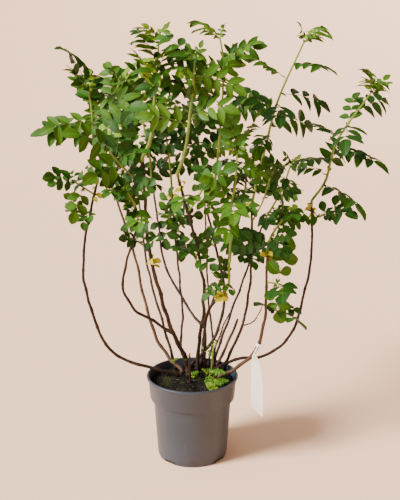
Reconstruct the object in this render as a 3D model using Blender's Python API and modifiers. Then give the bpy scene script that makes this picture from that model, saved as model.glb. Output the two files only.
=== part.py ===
"""Young rose bush in its nursery pot: canes, leafy shoots, soil, pot and a blank plant tag.

Units are metres and +Z is up. The origin is the centre of the pot's flat underside, and -Y is
the front of the bush.
"""
import math
import random

import bmesh
import bpy
from mathutils import Matrix, Vector
from mathutils.bvhtree import BVHTree

GAP = 0.0003
WELD = 0.000001
SEAM_WELD = 0.00001

POT_HEIGHT = 0.177
POT_RIM_RADIUS = 0.095
POT_COLLAR_RADIUS = 0.0875
POT_COLLAR_DEPTH = 0.049
POT_STEP_RADIUS = 0.0805
POT_BASE_RADIUS = 0.072
POT_WALL = 0.0016
POT_FLOOR = 0.003
RIM_LIP_HEIGHT = 0.005
RIM_LIP_WIDTH = 0.003
POT_SEGMENTS = 32
DRAIN_BEARINGS = (-40.0, 50.0, 140.0, 230.0)
DRAIN_WIDTH = 0.028
DRAIN_HEIGHT = 0.005
DRAIN_REACH = 0.012

SOIL_LEVEL = 0.165

CANE_STEP = 0.045
CANE_SIDES = 5
FOOT_RISE = 0.007
FOOT_FLARE = 1.3
JOINT_RUN = 0.008
SHOOT_STEP = 0.06
SHOOT_SIDES = 4
SEAT_GAP = 0.0004
SEAT_TRIES = 7
SPUR_RADIUS = 0.0018
SHOOT_TIP_RADIUS = 0.0015
SLIVERS = (0.00009, 0.00006, 0.00003, 0.00001, 0.0)

# The tag's blade hangs from its top; the outline's points are (sideways, up) from there.
TAG_TOP = (0.1248, -0.045, 0.239)
TAG_OUTLINE = ((-0.0028, 0.0), (-0.0048, -0.02), (-0.0052, -0.114), (0.0197, -0.1385), (0.0199, -0.1),
               (0.0188, -0.066), (0.0147, -0.0345), (0.009, -0.014), (0.003, 0.0))
TAG_THICKNESS = 0.0009
TAG_STRAP_WIDTH = 0.007
TAG_LOOP_HEIGHT = 0.006
TAG_LOOP_WALL = 0.0012
TAG_LOOP_SIDES = 12
TAG_LOOP_AT = 0.39

# Where leaves stand on a stem, as shares of its length, and how they vary, angles in degrees.
LAST_LEAF_AT = 0.96
TOP_LEAF_AT = 0.985
LEAF_STRAY = (0.1, 0.9)
GOLDEN_TURN = 137.5
TURN_STRAY = 30.0
TOP_SPREAD = (10.0, 60.0)
SIDE_SPREAD = (45.0, 88.0)
LEAF_SIZES = (0.78, 1.15)
LEAF_DROOPS = (0.2, 1.1)
LEAF_ROLL = 40.0

# Each leaf turns its face up and towards the light, droops along its rib and folds along it.
LIGHT = Vector((0.1, -0.85, 0.52)).normalized()
UP = Vector((0.0, 0.0, 1.0))
LIGHT_PULL = 1.6
LEAF_THICKNESS_SHARE = 0.0105
LEAF_THINNEST = 0.0008
LEAF_CLEARANCE = 0.0006
LEAF_STATIONS = 4
LEAF_FOLD = 0.14
RIB_HALF = 0.0008
ROOT_HALF = 0.0005
ROOT_SINK = 0.0003
LEAFLET_SHARE = 0.35
LEAFLET_ANGLE = math.radians(58.0)
PAIR_PLACES = {1: (0.4,), 2: (0.3, 0.52)}
RIB_END = {1: 0.62, 2: 0.68}

# Each cane: foot (x, y) on the soil or the cane it forks from and how far along, the bends it
# passes, its tip, and its radius at the foot and at the tip.
CANES = {
    "cane_far_left": dict(
        foot=(-0.032, 0.012), bends=((-0.09, 0.004, 0.19), (-0.158, -0.005, 0.222),
                                     (-0.197, -0.015, 0.298), (-0.216, -0.02, 0.425)),
        tip=(-0.183, -0.03, 0.584), radii=(0.0032, 0.0021), split=0.47),
    "cane_back_left": dict(
        foot=(-0.022, 0.032), bends=((-0.055, 0.06, 0.197), (-0.088, 0.082, 0.255), (-0.126, 0.12, 0.403)),
        tip=(-0.169, 0.135, 0.545), radii=(0.0035, 0.002)),
    "cane_thick": dict(
        foot=(-0.009, 0.013), bends=((-0.015, 0.008, 0.208), (-0.05, -0.035, 0.315), (-0.079, -0.08, 0.46)),
        tip=(-0.089, -0.1, 0.639), radii=(0.0042, 0.0026)),
    "cane_front_left": dict(
        fork=("cane_thick", 0.235), bends=((-0.075, -0.032, 0.303), (-0.115, -0.068, 0.347),
                                           (-0.131, -0.092, 0.405)),
        tip=(-0.1, -0.12, 0.529), radii=(0.0029, 0.0019)),
    "cane_back_inner": dict(
        foot=(-0.01, 0.042), bends=((-0.026, 0.062, 0.215), (-0.022, 0.11, 0.271), (-0.04, 0.18, 0.44)),
        tip=(-0.046, 0.2, 0.53), radii=(0.0027, 0.0018)),
    "cane_front_middle": dict(
        foot=(0.011, 0.046), bends=((0.014, 0.026, 0.235), (0.024, -0.04, 0.341), (0.016, -0.095, 0.45)),
        tip=(-0.023, -0.15, 0.618), radii=(0.0036, 0.0022)),
    "cane_crossing": dict(
        fork=("cane_front_middle", 0.265), bends=((-0.01, 0.033, 0.314), (-0.059, 0.09, 0.393),
                                                 (-0.075, 0.125, 0.5)),
        tip=(-0.086, 0.14, 0.55), radii=(0.0026, 0.0018)),
    "cane_front_right": dict(
        foot=(0.026, 0.05), bends=((0.026, 0.03, 0.252), (0.034, -0.004, 0.318), (0.068, -0.06, 0.384)),
        tip=(0.074, -0.12, 0.496), radii=(0.0031, 0.002)),
    "cane_kinked": dict(
        foot=(-0.002, 0.066), bends=((0.032, 0.062, 0.212), (0.055, 0.066, 0.256), (0.068, 0.092, 0.33)),
        tip=(0.033, 0.15, 0.483), radii=(0.0033, 0.0021)),
    "cane_thin_back": dict(
        foot=(0.034, 0.072), bends=((0.043, 0.102, 0.213), (0.034, 0.16, 0.312)),
        tip=(0.027, 0.22, 0.49), radii=(0.0023, 0.0016)),
    "cane_right": dict(
        foot=(0.066, 0.052), bends=((0.09, 0.061, 0.221), (0.105, 0.064, 0.262), (0.122, 0.055, 0.37)),
        tip=(0.12, 0.03, 0.526), radii=(0.0029, 0.002)),
    "cane_tagged": dict(
        foot=(0.056, 0.0), bends=((0.092, -0.004, 0.193), (0.13, -0.03, 0.243), (0.145, -0.056, 0.33)),
        tip=(0.146, -0.07, 0.458), radii=(0.0037, 0.0021)),
    "cane_far_right": dict(
        foot=(0.046, 0.036), bends=((0.088, 0.041, 0.19), (0.166, 0.048, 0.205), (0.216, 0.037, 0.27),
                                    (0.241, 0.02, 0.42)),
        tip=(0.238, 0.01, 0.536), radii=(0.0031, 0.002), split=0.44),
    "cane_rear_left": dict(
        foot=(-0.036, 0.052), bends=((-0.06, 0.1, 0.24), (-0.1, 0.17, 0.36)),
        tip=(-0.12, 0.225, 0.49), radii=(0.0029, 0.0019)),
    "cane_rear_right": dict(
        foot=(0.02, 0.078), bends=((0.03, 0.1, 0.262), (0.074, 0.152, 0.37)),
        tip=(0.108, 0.225, 0.47), radii=(0.0029, 0.0019)),
    "cane_side_right": dict(
        foot=(0.045, 0.066), bends=((0.075, 0.11, 0.25), (0.112, 0.145, 0.34)),
        tip=(0.152, 0.155, 0.46), radii=(0.0027, 0.0018)),
    "cane_thin_twig": dict(
        fork=("cane_right", 0.28), bends=((0.132, 0.04, 0.282),),
        tip=(0.145, 0.0, 0.331), radii=(0.0013, 0.0009)),
    "cane_thin_front": dict(
        foot=(0.047, 0.052), bends=((0.049, 0.044, 0.224),),
        tip=(0.077, 0.022, 0.303), radii=(0.002, 0.0012)),
    "stub_back_right": dict(
        foot=(0.053, 0.061), bends=((0.078, 0.096, 0.212),),
        tip=(0.099, 0.13, 0.252), radii=(0.003, 0.0023)),
    "stub_front": dict(
        foot=(-0.004, -0.02), bends=((-0.006, -0.024, 0.195),),
        tip=(-0.005, -0.022, 0.232), radii=(0.0023, 0.0016)),
}

# Each leafy shoot: the cane that carries it and how far along, the bends of its stem, how many
# leaves it has and how long they are, the width of a leaflet against its length, and its seed.
SHOOTS = {
    "shoot_far_left": dict(
        cane="cane_far_left", at=1.0,
        bends=((-0.186, -0.035, 0.65), (-0.187, -0.04, 0.723), (-0.192, -0.045, 0.764)),
        leaves=6, bare=0.3, leaf=0.118, shape=0.5, pairs=2, seed=949),
    "spur_far_left": dict(
        cane="cane_far_left", at=0.96, bends=((-0.222, -0.055, 0.592),),
        leaves=3, bare=0.5, leaf=0.08, shape=0.7, pairs=1, seed=500),
    "spur_far_left_low": dict(
        cane="cane_far_left", at=0.86, bends=((-0.215, -0.045, 0.53),),
        leaves=3, bare=0.5, leaf=0.055, shape=0.74, pairs=1, seed=234),
    "shoot_back_left": dict(
        cane="cane_back_left", at=1.0,
        bends=((-0.179, 0.11, 0.613), (-0.17, 0.08, 0.695), (-0.141, 0.03, 0.773)),
        leaves=4, bare=0.4, leaf=0.1, shape=0.56, pairs=2, seed=1177),
    "spur_back_left": dict(
        cane="cane_back_left", at=0.93, bends=((-0.15, 0.17, 0.565), (-0.145, 0.19, 0.61)),
        leaves=3, bare=0.5, leaf=0.085, shape=0.62, pairs=1, seed=200),
    "shoot_front_left": dict(
        cane="cane_front_left", at=1.0, bends=((-0.102, -0.14, 0.565), (-0.115, -0.15, 0.591)),
        leaves=4, bare=0.2, leaf=0.075, shape=0.7, pairs=2, seed=143),
    "shoot_tall_left": dict(
        cane="cane_thick", at=1.0,
        bends=((-0.073, -0.1, 0.684), (-0.065, -0.09, 0.767), (-0.058, -0.08, 0.851)),
        leaves=8, bare=0.55, leaf=0.11, shape=0.46, pairs=2, seed=1272),
    "spur_thick": dict(
        cane="cane_thick", at=0.92, bends=((-0.12, -0.135, 0.63), (-0.145, -0.15, 0.665)),
        leaves=4, bare=0.5, leaf=0.085, shape=0.62, pairs=1, seed=27),
    "spur_thick_low": dict(
        cane="cane_thick", at=0.66, bends=((-0.1, -0.105, 0.488),),
        leaves=3, bare=0.5, leaf=0.065, shape=0.72, pairs=1, seed=103),
    "shoot_crossing": dict(
        cane="cane_crossing", at=1.0,
        bends=((-0.09, 0.15, 0.602), (-0.101, 0.16, 0.661), (-0.11, 0.16, 0.711)),
        leaves=4, bare=0.25, leaf=0.1, shape=0.56, pairs=2, seed=296),
    "spur_crossing": dict(
        cane="cane_crossing", at=0.82, bends=((-0.045, 0.11, 0.49),),
        leaves=3, bare=0.5, leaf=0.07, shape=0.7, pairs=1, seed=230),
    "shoot_back_inner": dict(
        cane="cane_back_inner", at=1.0,
        bends=((-0.05, 0.21, 0.582), (-0.058, 0.22, 0.647), (-0.06, 0.22, 0.705)),
        leaves=4, bare=0.25, leaf=0.1, shape=0.56, pairs=2, seed=0),
    "spur_back_inner": dict(
        cane="cane_back_inner", at=0.78, bends=((-0.03, 0.16, 0.455),),
        leaves=3, bare=0.5, leaf=0.07, shape=0.7, pairs=1, seed=80),
    "shoot_front_middle": dict(
        cane="cane_front_middle", at=1.0,
        bends=((-0.01, -0.155, 0.667), (-0.001, -0.15, 0.735), (0.007, -0.13, 0.818)),
        leaves=6, bare=0.4, leaf=0.11, shape=0.46, pairs=2, seed=930),
    "spur_front_middle": dict(
        cane="cane_front_middle", at=0.86, bends=((0.01, -0.151, 0.576), (0.021, -0.165, 0.6)),
        leaves=3, bare=0.5, leaf=0.075, shape=0.66, pairs=1, seed=150),
    "spur_front_middle_low": dict(
        cane="cane_front_middle", at=0.62, bends=((0.0, -0.115, 0.47),),
        leaves=3, bare=0.5, leaf=0.065, shape=0.7, pairs=1, seed=192),
    "shoot_front_right": dict(
        cane="cane_front_right", at=1.0,
        bends=((0.071, -0.14, 0.547), (0.079, -0.15, 0.607), (0.082, -0.15, 0.66)),
        leaves=4, bare=0.25, leaf=0.09, shape=0.56, pairs=2, seed=252),
    "spur_front_right": dict(
        cane="cane_front_right", at=0.68, bends=((0.055, -0.075, 0.4),),
        leaves=3, bare=0.5, leaf=0.06, shape=0.7, pairs=1, seed=16),
    "shoot_kinked": dict(
        cane="cane_kinked", at=1.0, bends=((0.048, 0.14, 0.561), (0.059, 0.12, 0.686), (0.063, 0.09, 0.8),
                                           (0.055, 0.08, 0.858)),
        leaves=8, bare=0.5, leaf=0.11, shape=0.46, pairs=2, seed=1047),
    "spur_kinked": dict(
        cane="cane_kinked", at=0.8, bends=((0.03, 0.105, 0.44),),
        leaves=3, bare=0.5, leaf=0.065, shape=0.7, pairs=1, seed=34),
    "shoot_thin_back": dict(
        cane="cane_thin_back", at=1.0,
        bends=((0.025, 0.235, 0.555), (0.014, 0.25, 0.62), (0.007, 0.255, 0.68)),
        leaves=4, bare=0.25, leaf=0.095, shape=0.56, pairs=2, seed=3),
    "shoot_right": dict(
        cane="cane_right", at=1.0,
        bends=((0.141, 0.0, 0.641), (0.164, -0.02, 0.743), (0.209, -0.04, 0.854)),
        leaves=8, bare=0.4, leaf=0.11, shape=0.48, pairs=2, seed=745),
    "spur_right_upper": dict(
        cane="cane_right", at=0.92, bends=((0.138, -0.03, 0.55), (0.15, -0.05, 0.6)),
        leaves=4, bare=0.5, leaf=0.095, shape=0.52, pairs=1, seed=8),
    "spur_right": dict(
        cane="cane_right", at=0.7, bends=((0.11, 0.01, 0.44),),
        leaves=3, bare=0.5, leaf=0.075, shape=0.62, pairs=1, seed=139),
    "shoot_tagged": dict(
        cane="cane_tagged", at=1.0, bends=((0.153, -0.08, 0.495), (0.174, -0.09, 0.53)),
        leaves=4, bare=0.15, leaf=0.08, shape=0.72, pairs=2, seed=281),
    "spur_tagged": dict(
        cane="cane_tagged", at=0.82, bends=((0.17, -0.09, 0.4),),
        leaves=3, bare=0.5, leaf=0.085, shape=0.78, pairs=1, seed=230),
    "spur_tagged_low": dict(
        cane="cane_tagged", at=0.66, bends=((0.165, -0.085, 0.345),),
        leaves=3, bare=0.5, leaf=0.08, shape=0.74, pairs=1, seed=330),
    "shoot_far_right": dict(
        cane="cane_far_right", at=1.0,
        bends=((0.263, 0.0, 0.586), (0.28, -0.015, 0.665), (0.337, -0.04, 0.761)),
        leaves=8, bare=0.12, leaf=0.115, shape=0.5, pairs=2, seed=733),
    "spur_far_right": dict(
        cane="cane_far_right", at=0.93, bends=((0.255, -0.02, 0.52),),
        leaves=3, bare=0.5, leaf=0.085, shape=0.62, pairs=1, seed=1055),
    "shoot_rear_left": dict(
        cane="cane_rear_left", at=1.0, bends=((-0.13, 0.25, 0.57), (-0.14, 0.255, 0.64)),
        leaves=4, bare=0.2, leaf=0.09, shape=0.56, pairs=2, seed=205),
    "shoot_rear_right": dict(
        cane="cane_rear_right", at=1.0, bends=((0.12, 0.24, 0.55), (0.115, 0.25, 0.63)),
        leaves=4, bare=0.2, leaf=0.09, shape=0.56, pairs=2, seed=14),
    "shoot_side_right": dict(
        cane="cane_side_right", at=1.0, bends=((0.19, 0.15, 0.535), (0.208, 0.145, 0.59)),
        leaves=4, bare=0.2, leaf=0.085, shape=0.6, pairs=2, seed=167),
    "sprout_front": dict(
        foot=(0.034, -0.014), bends=((0.037, -0.02, 0.184), (0.043, -0.03, 0.196)),
        leaves=4, bare=0.35, leaf=0.036, shape=0.62, pairs=1, seed=21),
    "sprout_thin": dict(
        foot=(0.04, 0.024), bends=((0.042, 0.022, 0.2), (0.044, 0.018, 0.228)),
        leaves=3, bare=0.6, leaf=0.026, shape=0.62, pairs=1, seed=238),
}


def clear_scene():
    for scene_object in list(bpy.data.objects):
        bpy.data.objects.remove(scene_object, do_unlink=True)


def smooth_path(points, step):
    """Points about a step apart on a Catmull-Rom curve through the given ones."""
    points = [Vector(point) for point in points]
    if len(points) == 2:
        count = max(1, round((points[1] - points[0]).length / step))
        return [points[0].lerp(points[1], index / count) for index in range(count + 1)]
    path = []
    for index in range(len(points) - 1):
        start = points[index]
        end = points[index + 1]
        before = points[index - 1] if index else start * 2 - end
        after = points[index + 2] if index + 2 < len(points) else end * 2 - start
        count = max(1, round((end - start).length / step))
        for part in range(count):
            t = part / count
            path.append(0.5 * (2 * start + (end - before) * t
                               + (2 * before - 5 * start + 4 * end - after) * t * t
                               + (3 * start - before - 3 * end + after) * t ** 3))
    path.append(points[-1])
    return path


def place_along(path, fraction):
    """Point and direction at a fraction of a path's length."""
    lengths = [(b - a).length for a, b in zip(path, path[1:])]
    left = sum(lengths) * fraction
    for start, end, length in zip(path, path[1:], lengths):
        if left <= length:
            return start.lerp(end, left / length), (end - start).normalized()
        left -= length
    return path[-1].copy(), (path[-1] - path[-2]).normalized()


def square_to(direction, guide):
    """The unit part of guide that lies square to direction."""
    side = guide - direction * guide.dot(direction)
    if side.length < WELD:
        side = direction.orthogonal()
    return side.normalized()


def cane_route(name):
    """Smooth route and radii of a cane, from its foot or fork to its tip."""
    cane = CANES[name]
    foot_radius, tip_radius = cane["radii"]
    if "foot" in cane:
        x, y = cane["foot"]
        foot = Vector((x, y, SOIL_LEVEL + GAP))
        points = [foot + UP * FOOT_RISE, *cane["bends"], cane["tip"]]
        path = [foot, *smooth_path(points, CANE_STEP)]
    else:
        bends = (*cane["bends"], cane["tip"])
        path = seated_path(*cane["fork"], bends, CANE_STEP, cane["radii"], CANE_SIDES)
    radii = taper(path, foot_radius, tip_radius)
    if "foot" in cane:
        radii[0] *= FOOT_FLARE
    return path, radii


def cane_radius(name, fraction):
    foot_radius, tip_radius = CANES[name]["radii"]
    return foot_radius + (tip_radius - foot_radius) * fraction


def taper(path, foot_radius, tip_radius):
    """A radius for every point of a path, from its foot to its tip."""
    last = len(path) - 1
    return [foot_radius + (tip_radius - foot_radius) * index / last for index in range(last + 1)]


def seated_path(carrier, fraction, bends, step, radii, sides):
    """Path of a stem that starts a hair off a cane's bark, on the side its first bend lies."""
    route, route_radii = cane_route(carrier)
    cane = mesh_tree(tube_mesh([(route, route_radii)], CANE_SIDES))
    place, direction = place_along(route, fraction)
    side = square_to(direction, Vector(bends[0]) - place)
    near = 0.0
    far = cane_radius(carrier, fraction) + radii[0] + SEAT_GAP
    for _ in range(SEAT_TRIES):
        middle = (near + far) / 2
        path = smooth_path([place + side * middle, *bends], step)
        path[0] -= (path[1] - path[0]).normalized() * SEAT_GAP
        space = tube_mesh([(path, taper(path, radii[0] + SEAT_GAP, radii[1] + SEAT_GAP))], sides)
        if cane.overlap(mesh_tree(space)):
            near = middle
        else:
            far = middle
        bpy.data.meshes.remove(space)
    return smooth_path([place + side * far, *bends], step)


def shoot_path(shoot):
    """Stem of a shoot, which starts just clear of the soil or of its cane's tip or bark."""
    if "foot" in shoot:
        foot = Vector((*shoot["foot"], SOIL_LEVEL + GAP))
        return [foot, *smooth_path([foot + UP * FOOT_RISE, *shoot["bends"]], SHOOT_STEP)]
    if shoot["at"] >= 1.0:
        path, _ = cane_route(shoot["cane"])
        tip, direction = place_along(path, 1.0)
        start = tip + direction * GAP
        lead = [start, start + direction * FOOT_RISE]
        return lead + smooth_path([lead[1], *shoot["bends"]], SHOOT_STEP)[1:]
    radii = (SPUR_RADIUS, SHOOT_TIP_RADIUS)
    return seated_path(shoot["cane"], shoot["at"], shoot["bends"], SHOOT_STEP, radii, SHOOT_SIDES)


def shoot_radius(shoot):
    if shoot.get("at", 0.0) >= 1.0:
        return CANES[shoot["cane"]]["radii"][1]
    return SPUR_RADIUS


def grow_leaves(shoot, path, seed):
    """Leaves set spirally up a stem: root, heading, size, droop along the rib, and roll of the blade."""
    rng = random.Random(seed)
    count = shoot["leaves"]
    bare = shoot["bare"]
    turn = rng.uniform(0.0, 360.0)
    leaves = []
    for index in range(count):
        is_top = index == count - 1
        fraction = bare + (LAST_LEAF_AT - bare) * (index + rng.uniform(*LEAF_STRAY)) / count
        place, direction = place_along(path, TOP_LEAF_AT if is_top else fraction)
        turn += GOLDEN_TURN + rng.uniform(-TURN_STRAY, TURN_STRAY)
        side = Matrix.Rotation(math.radians(turn), 3, direction) @ direction.orthogonal().normalized()
        spread = math.radians(rng.uniform(*(TOP_SPREAD if is_top else SIDE_SPREAD)))
        heading = direction * math.cos(spread) + side * math.sin(spread)
        size = shoot["leaf"] * rng.uniform(*LEAF_SIZES)
        droop = rng.uniform(*LEAF_DROOPS)
        roll = math.radians(rng.uniform(-LEAF_ROLL, LEAF_ROLL))
        leaves.append((place, heading, size, droop, roll))
    return leaves


def leaf_stations(leaf):
    """Points and frames (along, across, normal) at even steps down a leaf's drooping rib."""
    place, heading, size, droop, roll = leaf
    place = place.copy()
    stations = []
    for index in range(LEAF_STATIONS + 1):
        share = index / LEAF_STATIONS
        along = (heading - UP * droop * share).normalized()
        normal = Matrix.Rotation(roll, 3, along) @ square_to(along, UP + LIGHT * LIGHT_PULL)
        stations.append((place.copy(), along, normal.cross(along), normal))
        place += along * size / LEAF_STATIONS
    return stations


def bend_leaf(stations, size, flat):
    """Where a point of the flat leaf (forward, sideways, up) lies on the drooping one."""
    forward, sideways, up = flat
    at = min(max(forward / size, 0.0), 1.0) * LEAF_STATIONS
    index = min(int(at), LEAF_STATIONS - 1)
    blend = at - index
    start, end = stations[index], stations[index + 1]
    place, along, across, normal = (a.lerp(b, blend) for a, b in zip(start, end))
    over = forward - at / LEAF_STATIONS * size
    lift = up - LEAF_FOLD * abs(sideways)
    return place + along * over + across * sideways + normal * lift


def leaf_outline(size, shape, pairs, grow=0.0):
    """Outline of a flat leaf, cut to its rib between its leaflets."""
    rib_half = RIB_HALF + grow
    ends = RIB_END[pairs] * size
    length = LEAFLET_SHARE * size
    width = shape * length + 2 * grow
    outward = Vector((math.cos(LEAFLET_ANGLE), math.sin(LEAFLET_ANGLE)))
    distal = Vector((math.sin(LEAFLET_ANGLE), -math.cos(LEAFLET_ANGLE)))
    side = [Vector((-ROOT_SINK, ROOT_HALF + grow))]
    for share in PAIR_PLACES[pairs]:
        root = Vector((share * size, rib_half))
        middle = root + outward * length / 2
        end = root + outward * (length + grow)
        half = distal * width / 2
        foot = Vector((rib_half, 0.0))
        side += [root - foot, middle - half, end, middle + half, root + foot]
    side.append(Vector(((ends + size) / 2, width / 2)))
    tip = Vector((size + grow, 0.0))
    return [*side, tip, *(Vector((x, -y)) for x, y in reversed(side))]


def make_material(name, colour, roughness):
    material = bpy.data.materials.new(name)
    material.use_nodes = True
    shader = material.node_tree.nodes["Principled BSDF"]
    shader.inputs["Base Color"].default_value = (*colour, 1.0)
    shader.inputs["Roughness"].default_value = roughness
    shader.inputs["Metallic"].default_value = 0.0
    return material


def add_mesh_object(name, mesh, collection):
    mesh.name = name
    made = bpy.data.objects.new(name, mesh)
    collection.objects.link(made)
    return made


def evaluated_mesh(source):
    """Closed mesh, in world space, of an object with its modifiers and filled caps."""
    depsgraph = bpy.context.evaluated_depsgraph_get()
    mesh = bpy.data.meshes.new_from_object(source.evaluated_get(depsgraph))
    mesh.transform(source.matrix_world)
    shell = bmesh.new()
    shell.from_mesh(mesh)
    bmesh.ops.remove_doubles(shell, verts=shell.verts, dist=WELD)
    bmesh.ops.recalc_face_normals(shell, faces=shell.faces)
    shell.to_mesh(mesh)
    shell.free()
    return mesh


def tube_mesh(routes, sides):
    """Tapering tubes, each along its own path with a radius at every point, as one mesh."""
    collection = bpy.context.scene.collection
    outline = bpy.data.curves.new("tube_outline", "CURVE")
    ring = outline.splines.new("POLY")
    ring.points.add(sides - 1)
    for index, point in enumerate(ring.points):
        angle = 2.0 * math.pi * index / sides
        point.co = (math.cos(angle), math.sin(angle), 0.0, 1.0)
    ring.use_cyclic_u = True
    section = bpy.data.objects.new("tube_outline", outline)
    collection.objects.link(section)
    curve = bpy.data.curves.new("tube_line", "CURVE")
    curve.dimensions = "3D"
    curve.use_fill_caps = True
    curve.bevel_mode = "OBJECT"
    curve.bevel_object = section
    for path, radii in routes:
        spline = curve.splines.new("POLY")
        spline.points.add(len(path) - 1)
        for point, place, radius in zip(spline.points, path, radii):
            point.co = (*place, 1.0)
            point.radius = radius
    drawn = bpy.data.objects.new("tube_line", curve)
    collection.objects.link(drawn)
    bpy.context.view_layer.update()
    mesh = evaluated_mesh(drawn)
    bpy.data.objects.remove(drawn, do_unlink=True)
    bpy.data.objects.remove(section, do_unlink=True)
    bpy.data.curves.remove(curve)
    bpy.data.curves.remove(outline)
    return mesh


def turned(name, profile, collection):
    """A solid turned about Z from a profile that runs from its top or inside to its underside."""
    mesh = bpy.data.meshes.new(name)
    outline = bmesh.new()
    points = [outline.verts.new((radius, 0.0, height)) for radius, height in profile]
    for start, end in zip(points, points[1:]):
        outline.edges.new((start, end))
    outline.to_mesh(mesh)
    outline.free()
    made = add_mesh_object(name, mesh, collection)
    screw = made.modifiers.new("turn", "SCREW")
    screw.steps = POT_SEGMENTS
    screw.render_steps = POT_SEGMENTS
    screw.use_merge_vertices = True
    screw.merge_threshold = SEAM_WELD
    screw.use_normal_calculate = True
    return made


def leaf_faces(pairs):
    """Corners, as places in the outline, of a flat leaf's faces: its rib's rungs, tip and leaflets."""
    tip = 5 * pairs + 2
    roots = range(1, tip - 1, 5)
    rungs = [0, *(corner for root in roots for corner in (root, root + 4)), tip - 1]
    faces = [(near, far, 2 * tip - far, 2 * tip - near) for near, far in zip(rungs, rungs[1:])]
    faces.append((tip - 1, tip, tip + 1))
    for root in roots:
        halves = [(root, root + 1, root + 3, root + 4), (root + 1, root + 2, root + 3)]
        faces += halves
        faces += [tuple(2 * tip - corner for corner in half) for half in halves]
    return faces


def leaf_mesh(name, leaf, shape, pairs, grow=0.0):
    """A leaf's blade: flat faces given a thickness, then laid along the drooping rib."""
    size = leaf[2]
    thickness = max(size * LEAF_THICKNESS_SHARE, LEAF_THINNEST) + 2 * grow
    blank = bmesh.new()
    corners = [blank.verts.new((x, y, -thickness / 2)) for x, y in leaf_outline(size, shape, pairs, grow)]
    for face in leaf_faces(pairs):
        blank.faces.new([corners[corner] for corner in face])
    bmesh.ops.triangulate(blank, faces=blank.faces)
    raised = bmesh.ops.extrude_face_region(blank, geom=blank.faces)["geom"]
    raised = [part for part in raised if isinstance(part, bmesh.types.BMVert)]
    bmesh.ops.translate(blank, verts=raised, vec=UP * thickness)
    bmesh.ops.recalc_face_normals(blank, faces=blank.faces)
    stations = leaf_stations(leaf)
    for vertex in blank.verts:
        vertex.co = bend_leaf(stations, size, vertex.co)
    mesh = bpy.data.meshes.new(name)
    blank.to_mesh(mesh)
    blank.free()
    return mesh


def mesh_tree(mesh):
    shell = bmesh.new()
    shell.from_mesh(mesh)
    tree = BVHTree.FromBMesh(shell)
    shell.free()
    return tree


class Crowding:
    """Everything grown so far, asked whether a new leaf would touch any of it but its own stem."""

    def __init__(self):
        self.grown = []

    def add(self, owner, mesh):
        middle, reach = self.span(mesh)
        self.grown.append((owner, mesh_tree(mesh), middle, reach))

    def span(self, mesh):
        places = [vertex.co for vertex in mesh.vertices]
        middle = sum(places, Vector()) / len(places)
        return middle, max((place - middle).length for place in places)

    def is_clear(self, owner, mesh):
        middle, reach = self.span(mesh)
        tree = mesh_tree(mesh)
        for other, grown, place, span in self.grown:
            if other != owner and (place - middle).length < reach + span and grown.overlap(tree):
                return False
        return True


def body_groups(shell):
    """The faces of each body that hangs together, smallest body first."""
    unseen = set(shell.faces)
    bodies = []
    while unseen:
        front = [unseen.pop()]
        body = list(front)
        while front:
            face = front.pop()
            for edge in face.edges:
                for beside in edge.link_faces:
                    if beside in unseen:
                        unseen.remove(beside)
                        front.append(beside)
                        body.append(beside)
        bodies.append(body)
    return sorted(bodies, key=len)


def is_closed(shell):
    return bool(shell.faces) and all(len(edge.link_faces) == 2 for edge in shell.edges)


def drop_scraps(shell):
    """Keep only a shell's largest body."""
    for body in body_groups(shell)[:-1]:
        bmesh.ops.delete(shell, geom=body, context="FACES")
    loose = [vertex for vertex in shell.verts if not vertex.link_faces]
    bmesh.ops.delete(shell, geom=loose, context="VERTS")


def settle_faces(mesh):
    """Drop a fused mesh's scraps and slivers and cut it into triangles, keeping it closed."""
    for sliver in SLIVERS:
        shell = bmesh.new()
        shell.from_mesh(mesh)
        bmesh.ops.dissolve_degenerate(shell, dist=sliver, edges=shell.edges)
        needless = [vertex for vertex in shell.verts if len(vertex.link_edges) == 2]
        bmesh.ops.dissolve_verts(shell, verts=needless)
        drop_scraps(shell)
        for cut in ("BEAUTY", "LONG_EDGE", "SHORT_EDGE", "FIXED", "ALTERNATE"):
            trial = shell.copy()
            bmesh.ops.triangulate(trial, faces=trial.faces, quad_method=cut)
            closed = is_closed(trial)
            if closed:
                trial.to_mesh(mesh)
            trial.free()
            if closed:
                shell.free()
                return True
        shell.free()
    return False


def fuse(name, pieces, collection, solver):
    """Join the pieces into one closed body."""
    joined = bpy.data.collections.new(name + "_pieces")
    bpy.context.scene.collection.children.link(joined)
    for piece in pieces[1:]:
        collection.objects.unlink(piece)
        joined.objects.link(piece)
    union = pieces[0].modifiers.new("fuse", "BOOLEAN")
    union.operation = "UNION"
    union.operand_type = "COLLECTION"
    union.collection = joined
    union.solver = solver
    bpy.context.view_layer.update()
    depsgraph = bpy.context.evaluated_depsgraph_get()
    mesh = bpy.data.meshes.new_from_object(pieces[0].evaluated_get(depsgraph))
    if not settle_faces(mesh):
        print(name, "is left open")
    for piece in list(joined.objects):
        bpy.data.objects.remove(piece, do_unlink=True)
    bpy.data.collections.remove(joined)
    bpy.data.objects.remove(pieces[0], do_unlink=True)
    return add_mesh_object(name, mesh, collection)


def box_cutter(name, size, place, bearing, collection):
    shell = bmesh.new()
    bmesh.ops.create_cube(shell, size=1.0)
    bmesh.ops.scale(shell, vec=size, verts=shell.verts)
    mesh = bpy.data.meshes.new(name)
    shell.to_mesh(mesh)
    shell.free()
    cutter = add_mesh_object(name, mesh, collection)
    cutter.location = place
    cutter.rotation_euler = (0.0, 0.0, bearing)
    cutter.hide_render = True
    cutter.display_type = "WIRE"
    return cutter


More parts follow.
